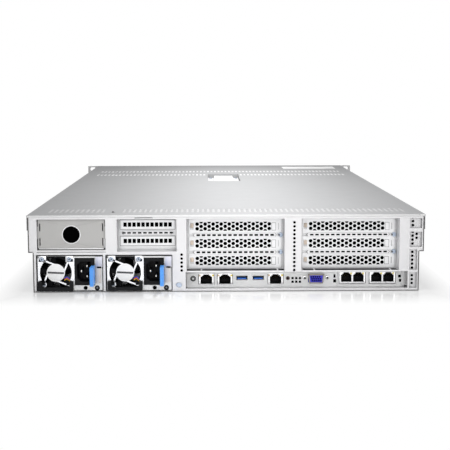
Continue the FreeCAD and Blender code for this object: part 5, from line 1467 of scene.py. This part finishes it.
@dataclass
class PanelTrim:
    """Small details of the rear wall round the blank plate and the bays.

    Attributes:
        plate_face: Rear surface of the blank plate.
        plate_proud: How far its rims stand out of it.
        window: Left, right, lower and upper edge of the plate's window.
        hole_radius: Radius of its round hole.
        notch_top: Upper edge of the plate's long side slits, above the window's lower edge.
    """

    plate_face: float = REAR + 2.5 * MM
    plate_proud: float = 0.25 * MM
    window: Band = (-211.8 * MM, -135.6 * MM, 47.8 * MM, 82.3 * MM)
    hole_radius: float = 9.6 * MM
    notch_top: float = 12.5 * MM

    def build(self) -> None:
        """Builds the details of the plate, of the wall and of the case's edges."""
        self.plate_rims()
        self.plate_slits()
        self.hole_well()
        self.wall_fold_shade()
        self.case_edge_shade()
        self.card_filler()
        self.wall_screw()

    def hole_middle(self) -> Vector:
        """Gives the middle of the plate's round hole, on the plate's rear surface."""
        left, right, low, high = self.window
        return Vector(((left + right) / 2, self.plate_face, (low + high) / 2))

    def plate_rims(self) -> None:
        """Rims the plate's round hole, and its lower and right edge."""
        piece = Workpiece("plate_hole_rim")
        left, right, low = self.window[:3]
        near, far = self.plate_face - self.plate_proud, self.plate_face
        piece.ring(self.hole_middle() - Vector((0.0, 0.1 * MM, 0.0)), self.hole_radius,
                   self.hole_radius + 0.8 * MM, 0.2 * MM, 64)
        piece.block((left + 1.5 * MM, near, low + 0.6 * MM),
                    (right - 1.8 * MM, far, low + 1.9 * MM), 0.1 * MM)
        piece.block((right - 1.7 * MM, near, low + 2.2 * MM),
                    (right - 0.8 * MM, far, low + self.notch_top), 0.1 * MM)
        piece.finish(ZINC)

    def plate_slits(self) -> None:
        """Darkens the slits between the plate and the edge of its window with painted shade."""
        piece = Workpiece("plate_slits")
        left, right, low, high = self.window
        near, far = self.plate_face - self.plate_proud, self.plate_face + 0.1 * MM
        notch, foot = (low + 1.5 * MM, low + self.notch_top), (low + 0.5 * MM, low + 2.0 * MM)
        upper = (high - 8.0 * MM, high - 0.5 * MM)
        for start, end, (bottom, top) in (
                (left, left + 0.6 * MM, notch), (left, left + 1.6 * MM, foot),
                (right - 0.7 * MM, right, notch), (right - 1.9 * MM, right, foot),
                (left, left + 0.8 * MM, upper), (right - 0.8 * MM, right, upper)):
            piece.block((start, near, bottom), (end, far, top))
        piece.finish(HOLE_SHADE)

    def hole_well(self) -> None:
        """Puts a dark sheet of painted shade behind the plate's round hole."""
        piece = Workpiece("plate_hole_well")
        piece.drum(self.hole_middle() + Vector((0.0, 5.9 * MM, 0.0)),
                   self.hole_radius + 4.0 * MM, 0.5 * MM, 40)
        piece.finish(HOLE_SHADE)

    def wall_fold_shade(self) -> None:
        """Draws the wall's fold below the plate's window as a line of painted shade."""
        piece = Workpiece("wall_fold_shade")
        low, high, margin = 45.3 * MM, 45.8 * MM, 0.5 * MM
        piece.block((self.window[0] - margin, REAR - 0.15 * MM, low),
                    (self.window[1] + margin, REAR, high))
        piece.finish(SHADE_LINE)

    def case_edge_shade(self) -> None:
        """Draws dark lines of painted shade along the rear edges of the stepped side walls and of
        the floor.
        """
        piece = Workpiece("case_edge_shade")
        wide, narrow, line = 221.9 * MM, 216.9 * MM, 1.0 * MM
        floor, ledge, top = 0.2 * MM, 45.0 * MM, 84.6 * MM
        near, far = REAR - 0.25 * MM, REAR + 0.1 * MM
        for side in (-1, 1):
            for outer, inner, low, high in ((wide, wide - line, ledge, top),
                                            (narrow, narrow - line, floor, ledge),
                                            (narrow, wide - line, ledge, ledge + line)):
                left, right = sorted((side * outer, side * inner))
                piece.block((left, near, low), (right, far, high), 0.1 * MM)
        piece.block((-narrow + line, near, floor), (narrow - line, far, floor + 0.6 * MM),
                    0.1 * MM)
        piece.finish(EDGE_SHADE)

    def card_filler(self) -> None:
        """Fills the gap at the right of the card's plate with a narrow sheet."""
        piece = Workpiece("card_filler")
        left, right, low, high = 200.9 * MM, 208.6 * MM, 3.0 * MM, 21.6 * MM
        piece.block((left, REAR + 18.2 * MM, low), (right, REAR + 19.0 * MM, high), 0.2 * MM)
        piece.finish(LIT_PORT_PLATE)

    def wall_screw(self) -> None:
        """Drives the case screw between the supplies and the ports."""
        screw, recess = Workpiece("wall_screw"), Workpiece("wall_screw_recess")
        across, up, head = -54.6 * MM, 8.0 * MM, 1.0 * MM
        screw.drum((across, REAR - head / 2, up), 1.8 * MM, head, 24, far_radius=2.5 * MM)
        # The screw's cross recess is two dark bars of painted shade.
        for lean in (30.0, 120.0):
            recess.bar(Vector((across, REAR - head, up)), (2.4 * MM, 0.1 * MM, 0.56 * MM), lean)
        screw.finish(SCREW_STEEL)
        recess.finish(HOLE_SHADE)


@dataclass
class LidTrim:
    """The lid's slot floors and far rows of louvres in painted light, its rear lip with a painted
    highlight, its recess and the label.

    Attributes:
        top: Height of the lid's upper surface.
        first_slot: Middle of the first slot, across.
        slot_count: How many slots fit in the row.
        slot_pitch: Distance between two slots.
        slot_size: Width of a slot's floor, and its near and far end from the rear.
        stud_slot: Number of the place where the round hole stands for slots.
        louvre_rows: Middle of each far row, from the rear.
        louvre_size: Width and length of one louvre.
        louvre_count: Louvres in each row.
        louvre_pitch: Distance between two louvres.
        pan: Left, right, rear and far edge of the lever's recess.
        pan_depth: Depth of that recess.
    """

    top: float = 87.0 * MM
    first_slot: float = -201.8 * MM
    slot_count: int = 68
    slot_pitch: float = 6.05 * MM
    slot_size: Point = (2.7 * MM, 27.2 * MM, 59.8 * MM)
    stud_slot: int = 12
    louvre_rows: Spot = (565.0 * MM, 634.0 * MM)
    louvre_size: Spot = (3.2 * MM, 24.0 * MM)
    louvre_count: int = 68
    louvre_pitch: float = 6.0 * MM
    pan: Band = (-21.0 * MM, 29.0 * MM, 449.0 * MM, 577.7 * MM)
    pan_depth: float = 6.0 * MM

    def build(self) -> None:
        """Builds every fitting of the lid, and the label on the fixed cover."""
        self.slot_floors()
        self.rear_highlight()
        self.hole_shade_and_stud()
        self.louvres()
        self.pan_floor()
        self.pan_rivets()
        self.plain_label()

    def slot_floors(self) -> None:
        """Floors each rear slot just below the lid's surface with a shallow, lighter sheet: painted
        light for the slots' bright look.
        """
        piece = Workpiece("lid_slot_painted_light")
        width, near, far = self.slot_size
        for number in range(self.slot_count):
            if abs(number - self.stud_slot) <= 1:
                continue
            across = self.first_slot + number * self.slot_pitch
            piece.block((across - width / 2, REAR + near, self.top - 0.5 * MM),
                        (across + width / 2, REAR + far, self.top - 0.06 * MM), 0.1 * MM)
        piece.finish(SLOT_SHEET, "lid")

    def rear_highlight(self) -> None:
        """Lays a bright strip on the lid's rear edge: a painted highlight where the light catches
        its fold.
        """
        piece = Workpiece("lid_rear_highlight")
        half, height = 222.3 * MM, 2.3 * MM
        piece.block((-half, REAR - 0.4 * MM, self.top - height),
                    (half, REAR - 0.03 * MM, self.top), 0.12 * MM)
        piece.finish(BRIGHT_SHEET, "lid")

    def hole_shade_and_stud(self) -> None:
        """Floors the lid's round hole with a dark disc of painted shade that has a stud in its
        middle.
        """
        piece = Workpiece("lid_hole_shade_and_stud")
        across = self.first_slot + self.stud_slot * self.slot_pitch
        along = REAR + 30.0 * MM
        piece.drum((across, along, self.top - 0.35 * MM), 2.8 * MM, 0.3 * MM, 24, Axis.Z)
        piece.drum((across, along, self.top + 0.2 * MM), 1.15 * MM, 1.3 * MM, 20, Axis.Z,
                   rounded=0.2 * MM)
        piece.finish(RING_BLACK, "lid")

    def louvres(self) -> None:
        """Presses two rows of louvres across the far part of the lid, bright with a painted
        highlight.
        """
        piece = Workpiece("lid_louvre_highlights")
        width, length = self.louvre_size
        start = -(self.louvre_count - 1) / 2 * self.louvre_pitch
        left, right = self.pan[0] - 3.0 * MM, self.pan[1] + 3.0 * MM
        for row in self.louvre_rows:
            near, far = row - length / 2, row + length / 2
            for number in range(self.louvre_count):
                across = start + number * self.louvre_pitch
                if left < across < right and near < self.pan[3] + 2.0 * MM:
                    continue
                piece.block((across - width / 2, REAR + near, self.top - 0.1 * MM),
                            (across + width / 2, REAR + far, self.top + 0.18 * MM), 0.15 * MM)
        piece.finish(LOUVRE_SHEET, "lid")

    def pan_floor(self) -> None:
        """Floors the lever's recess with bright sheet."""
        piece = Workpiece("lid_pan_floor")
        left, right, near, far = self.pan
        floor, sheet = self.top - self.pan_depth, 0.2 * MM
        piece.block((left + sheet, REAR + near + sheet, floor),
                    (right - sheet, REAR + far - sheet, floor + sheet))
        piece.finish(LOUVRE_SHEET, "lid")

    def pan_rivets(self) -> None:
        """Rivets the four corners of the recess."""
        piece = Workpiece("lid_pan_rivets")
        left, right, near, far = self.pan
        up = self.top - self.pan_depth + 0.9 * MM
        for across in (left + 4.5 * MM, right - 4.5 * MM):
            for along in (near + 8.0 * MM, far - 14.0 * MM):
                piece.drum((across, REAR + along, up), 2.4 * MM, 1.4 * MM, 20, Axis.Z,
                           far_radius=1.8 * MM)
        piece.finish(SCREW_STEEL, "lid")

    def plain_label(self) -> None:
        """Lays the plain strip on the fixed cover, near its right edge."""
        piece = Workpiece("plain_label")
        left, right, near, far = 112.0 * MM, 204.5 * MM, 695.0 * MM, 743.0 * MM
        piece.block((left, REAR + near, self.top), (right, REAR + far, self.top + 0.15 * MM),
                    0.1 * MM)
        piece.finish(LABEL_PAPER)


@dataclass
class DriveTrim:
    """The fittings on one drive carrier: its release button, light pipes, ribs and louvres.

    Attributes:
        number: Carrier's number, from 1 to 8.
        strip: Width of the bezel's strip beside the lever.
        button_area: Left, right, lower and upper edge of the button, from the carrier's corner.
        ridges: Heights of the button's ridges above the carrier's lower edge.
        pipe_drop: Distance of the light pipes below its upper edge.
        rib_height: Height of the lips along the bezel's long edges.
        openings: How many openings the lever has.
        louvre_pitch: Distance between two of its louvres.
    """

    number: int
    strip: float = 9.6 * MM
    button_area: Band = (-7.6 * MM, -1.8 * MM, 3.0 * MM, 14.0 * MM)
    ridges: Point = (6.5 * MM, 8.5 * MM, 10.5 * MM)
    pipe_drop: float = 5.5 * MM
    rib_height: float = 1.2 * MM
    openings: int = 8
    louvre_pitch: float = 3.7 * MM

    def __post_init__(self) -> None:
        """Reads the carrier's and the lever's places from the frame."""
        self.body = f"drive_carrier_{self.number}"
        self.low, self.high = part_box(self.body)
        self.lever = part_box(f"carrier_lever_{self.number}")

    def build(self) -> None:
        """Builds every fitting of this carrier."""
        self.button()
        self.light_pipes()
        self.bezel_ribs()
        self.lever_louvres()

    def button(self) -> None:
        """Sets the release button into the strip, with three grip ridges on it."""
        piece = Workpiece(f"carrier_{self.number}_button")
        corner, face, floor = self.high.x, self.high.y, self.low.z
        left, right, low, high = self.button_area
        piece.block((corner + left, face - 0.2 * MM, floor + low),
                    (corner + right, face + 1.1 * MM, floor + high), 0.7 * MM)
        margin, half = 1.2 * MM, 0.3 * MM
        for rise in self.ridges:
            piece.block((corner + left + margin, face + 1.0 * MM, floor + rise - half),
                        (corner + right - margin, face + 1.35 * MM, floor + rise + half),
                        0.1 * MM)
        piece.finish(RELEASE_BLUE, self.body)

    def light_pipes(self) -> None:
        """Ends two light pipes flush in the strip, above the button."""
        piece = Workpiece(f"carrier_{self.number}_light_pipes")
        for across in (6.5 * MM, 3.1 * MM):
            piece.drum((self.high.x - across, self.high.y + 0.15 * MM,
                        self.high.z - self.pipe_drop), 1.15 * MM, 0.6 * MM, 20,
                       rounded=0.2 * MM)
        piece.finish(PIPE_LENS, self.body)

    def bezel_ribs(self) -> None:
        """Raises a lip along the bezel's two long edges and beside the lever."""
        piece = Workpiece(f"carrier_{self.number}_ribs")
        near, far = self.high.y - 0.2 * MM, self.high.y + 0.5 * MM
        margin, end_margin, width = 0.6 * MM, 2.2 * MM, 0.8 * MM
        left, right = self.low.x + margin, self.high.x - margin
        for up in (self.low.z + margin, self.high.z - margin - self.rib_height):
            piece.block((left, near, up), (right, far, up + self.rib_height), 0.3 * MM)
        edge = self.high.x - self.strip + 0.5 * MM
        piece.block((edge, near, self.low.z + end_margin),
                    (edge + width, far, self.high.z - end_margin), 0.25 * MM)
        piece.finish(BEZEL_PLASTIC, self.body)

    def lever_louvres(self) -> None:
        """Crosses the lever's openings with thin louvres, and gives it a grip at its end."""
        piece = Workpiece(f"lever_{self.number}_louvres")
        low, high = self.lever
        pitch, rise = 9.0 * MM, 5.5 * MM
        first, last = low.x + 9.5 * MM, low.x + 10.2 * MM + self.openings * pitch
        back, half = high.y - 2.6 * MM, 0.35 * MM
        for step in range(4):
            up = low.z + rise + step * self.louvre_pitch
            piece.block((first, back, up - half), (last, back + 0.9 * MM, up + half), 0.1 * MM)
        margin, half = 3.0 * MM, 0.4 * MM
        for across in (4.6 * MM, 3.0 * MM):
            piece.block((high.x - across - half, high.y - 0.1 * MM, low.z + margin),
                        (high.x - across + half, high.y + 0.45 * MM, high.z - margin), 0.2 * MM)
        piece.finish(LEVER_PLASTIC, f"carrier_lever_{self.number}")


@dataclass
class DriveSide:
    """The grille of the drive cage's vent strip, and the lamps on the ear.

    Attributes:
        strip_low: Lower edge of the strip's openings.
        strip_high: Their upper edge.
        openings: How many openings the strip has.
        pitch: Distance between two openings.
        face: The drive side's plane.
    """

    strip_low: float = 66.0 * MM
    strip_high: float = 83.0 * MM
    openings: int = 20
    pitch: float = 20.6 * MM
    face: float = 390.0 * MM

    def build(self) -> None:
        """Builds the grille, the lamps and the power button's rim."""
        self.grille()
        self.lamps()
        self.button_rim()

    def grille(self) -> None:
        """Crosses the vent strip's openings with slats and posts."""
        piece = Workpiece("strip_grille")
        slats, posts = 5, 4
        half, sheet, lap = 0.3 * MM, 0.6 * MM, 1.0 * MM
        back = self.face - 3.2 * MM
        reach = self.pitch * self.openings / 2
        for step in range(slats):
            up = self.strip_low + (step + 0.5) * (self.strip_high - self.strip_low) / slats
            piece.block((-reach, back, up - half), (reach, back + sheet, up + half))
        for number in range(posts * self.openings):
            across = -reach + (number + 0.5) * self.pitch / posts
            piece.block((across - half, back - sheet, self.strip_low - lap),
                        (across + half, back, self.strip_high + lap))
        piece.finish(BEZEL_PLASTIC)

    def lamps(self) -> None:
        """Sets three small lamps into the ear, one above the other."""
        piece = Workpiece("ear_lamps")
        lamp_top = (232.5 * MM, 47.0 * MM)
        lamp_pitch = 6.0 * MM
        for step in range(3):
            piece.drum((lamp_top[0], self.face + 0.1 * MM,
                        lamp_top[1] - step * lamp_pitch), 1.2 * MM, 0.6 * MM, 20,
                       rounded=0.2 * MM)
        piece.finish(PIPE_LENS)

    def button_rim(self) -> None:
        """Rims the power button on the ear."""
        piece = Workpiece("power_button_rim")
        button_place = (232.55 * MM, 60.9 * MM)
        piece.ring((button_place[0], self.face + 0.2 * MM, button_place[1]), 3.5 * MM,
                   4.5 * MM, 0.5 * MM)
        piece.finish(PORT_METAL)


@dataclass(frozen=True)
class Softbox:
    """A soft lamp of the studio.

    Attributes:
        name: Name of the lamp.
        place: Where it hangs, in metres.
        size: Its side, in metres.
        watts: Its power.
        length: Its other side, where it is a long strip.
        straight_down: Whether it faces down and stays out of the camera's view.
    """

    name: str
    place: Point
    size: float
    watts: float
    length: float = 0.0
    straight_down: bool = False

    def hang(self, aim: Point) -> None:
        """Makes the lamp and turns it to a point, unless it faces straight down.

        Args:
            aim: Point that it faces.
        """
        light = bpy.data.lights.new(self.name, "AREA")
        light.size = self.size
        light.energy = self.watts
        if self.length:
            light.shape = "RECTANGLE"
            light.size_y = self.length
        lamp = bpy.data.objects.new(self.name, light)
        lamp.location = self.place
        if self.straight_down:
            lamp.visible_camera = False
        else:
            view = Vector(aim) - Vector(self.place)
            lamp.rotation_euler = view.to_track_quat("-Z", "Y").to_euler()
        bpy.context.scene.collection.objects.link(lamp)


@dataclass
class Studio:
    """A plain white room with soft lamps, and the camera at the photograph's angle.

    Attributes:
        camera_place: Where the camera stands, in metres.
        pitch: How far it looks down, in degrees.
        turn: How far it looks to the object's right, in degrees.
        roll: How far the picture is turned, in degrees.
        lens: Focal length, in millimetres on a 36 mm sensor.
        aim: Point that the lamps face.
        floor_reach: Half the floor's width, in metres.
        fade_reach: Distance from the origin, across and along, where the floor starts to fade.
        ambient: Strength of the even light from all round.
        lamps: The lamps of the room.
    """

    camera_place: Point = (-0.0195, -1.5669, 0.2251)
    pitch: float = 7.24
    turn: float = -0.885
    roll: float = 0.12
    lens: float = 84.9
    aim: Point = (0.0, 0.0, 0.05)
    floor_reach: float = 6.0
    fade_reach: Spot = (0.23, 0.41)
    ambient: float = 0.34
    lamps: tuple[Softbox, ...] = (
        Softbox("key_softbox", (0.0, -2.1, 0.2), 1.4, 13.0),
        Softbox("top_strip", (0.025, -0.2, 0.31), 0.1, 2.35, length=1.1, straight_down=True),
        Softbox("drive_softbox", (0.0, 2.3, 0.3), 1.2, 9.0),
        Softbox("left_softbox", (-1.6, -0.6, 0.8), 0.9, 1.5),
        Softbox("right_softbox", (1.6, -0.6, 0.8), 0.9, 1.5))

    def build(self) -> None:
        """Builds the floor, the world, the lamps and the camera."""
        self.floor()
        self.world()
        for lamp in self.lamps:
            lamp.hang(self.aim)
        self.camera()

    def floor(self) -> None:
        """Lays the pale floor."""
        mesh = bpy.data.meshes.new("floor")
        shape = bmesh.new()
        bmesh.ops.create_grid(shape, x_segments=1, y_segments=1, size=self.floor_reach)
        shape.to_mesh(mesh)
        shape.free()
        floor = bpy.data.objects.new("floor", mesh)
        bpy.context.scene.collection.objects.link(floor)
        mesh.materials.append(self.floor_material())

    def floor_material(self) -> bpy.types.Material:
        """Makes the floor's material, which fades to plain white far from the object.

        Returns:
            The material.
        """
        roughness, near_white, fade_end = 0.12, 0.3, 1.14
        material = bpy.data.materials.new("studio_floor")
        material.use_nodes = True
        tree = material.node_tree
        shader = tree.nodes["Principled BSDF"]
        shader.inputs["Base Color"].default_value = (0.9, 0.9, 0.9, 1.0)
        shader.inputs["Roughness"].default_value = roughness
        shader.inputs["Specular IOR Level"].default_value = 0.5
        place = add_node(tree, "ShaderNodeTexCoord").outputs["Object"]
        apart = add_node(tree, "ShaderNodeVectorMath", operation="ABSOLUTE")
        tree.links.new(place, apart.inputs[0])
        shares = (1 / self.fade_reach[0], 1 / self.fade_reach[1], 1.0)
        scaled = set_inputs(add_node(tree, "ShaderNodeMapping"), Vector=apart.outputs[0],
                            Scale=shares)
        sides = add_node(tree, "ShaderNodeSeparateXYZ")
        tree.links.new(scaled.outputs[0], sides.inputs[0])
        reach = add_sum(tree, "MAXIMUM", sides.outputs[0], sides.outputs[1])
        fade = set_inputs(add_node(tree, "ShaderNodeMapRange"), Value=reach, From_Min=1.0,
                          From_Max=fade_end, To_Min=near_white, To_Max=1.0)
        path = add_node(tree, "ShaderNodeLightPath")
        seen = add_sum(tree, "MULTIPLY", fade.outputs[0], path.outputs["Is Camera Ray"])
        white = add_node(tree, "ShaderNodeEmission")
        self.blend(tree, seen, shader, white, tree.nodes["Material Output"])
        return material

    def world(self) -> None:
        """Lights the room evenly, and shows plain white where the camera or gloss sees it."""
        world = bpy.data.worlds.new("studio")
        world.use_nodes = True
        tree = world.node_tree
        dim = tree.nodes["Background"]
        white = add_node(tree, "ShaderNodeBackground")
        for light, strength in ((dim, self.ambient), (white, 1.0)):
            set_inputs(light, Color=(1.0, 1.0, 1.0, 1.0), Strength=strength)
        rays = add_node(tree, "ShaderNodeLightPath").outputs
        clear = add_sum(tree, "MAXIMUM", rays["Is Glossy Ray"], rays["Is Transmission Ray"])
        seen = add_sum(tree, "MAXIMUM", rays["Is Camera Ray"], clear)
        self.blend(tree, seen, dim, white, tree.nodes["World Output"])
        bpy.context.scene.world = world

    def blend(self, tree: bpy.types.NodeTree, share: bpy.types.NodeSocket,
              first: bpy.types.Node, second: bpy.types.Node, output: bpy.types.Node) -> None:
        """Mixes two shaders into a tree's output.

        Args:
            tree: Node tree of the material or the world.
            share: How much of the second shader shows.
            first: First shader.
            second: Second shader.
            output: Output node of the tree.
        """
        mix = add_node(tree, "ShaderNodeMixShader")
        for source, socket in zip((share, first.outputs[0], second.outputs[0]), mix.inputs):
            tree.links.new(source, socket)
        tree.links.new(mix.outputs[0], output.inputs["Surface"])

    def camera(self) -> None:
        """Sets up the camera as the photograph was taken."""
        view = bpy.data.cameras.new("photo_camera")
        view.lens = self.lens
        camera = bpy.data.objects.new("photo_camera", view)
        camera.location = self.camera_place
        camera.rotation_euler = (math.radians(90.0 - self.pitch), math.radians(self.roll),
                                 math.radians(self.turn))
        bpy.context.scene.collection.objects.link(camera)
        bpy.context.scene.camera = camera
        bpy.context.scene.view_settings.view_transform = "Standard"


def main() -> None:
    """Dresses the server and sets up the studio."""
    logging.basicConfig(level=logging.INFO, format="%(name)s: %(message)s")
    dress_nodes()
    for number in (1, 2):
        SupplyTrim(number).build()
    for number in range(1, 9):
        DriveTrim(number).build()
    for group in (DriveSide(), PortTrim(), ExpansionTrim(), PanelTrim(), LidTrim()):
        group.build()
    Studio().build()


if __name__ == "__main__":
    main()
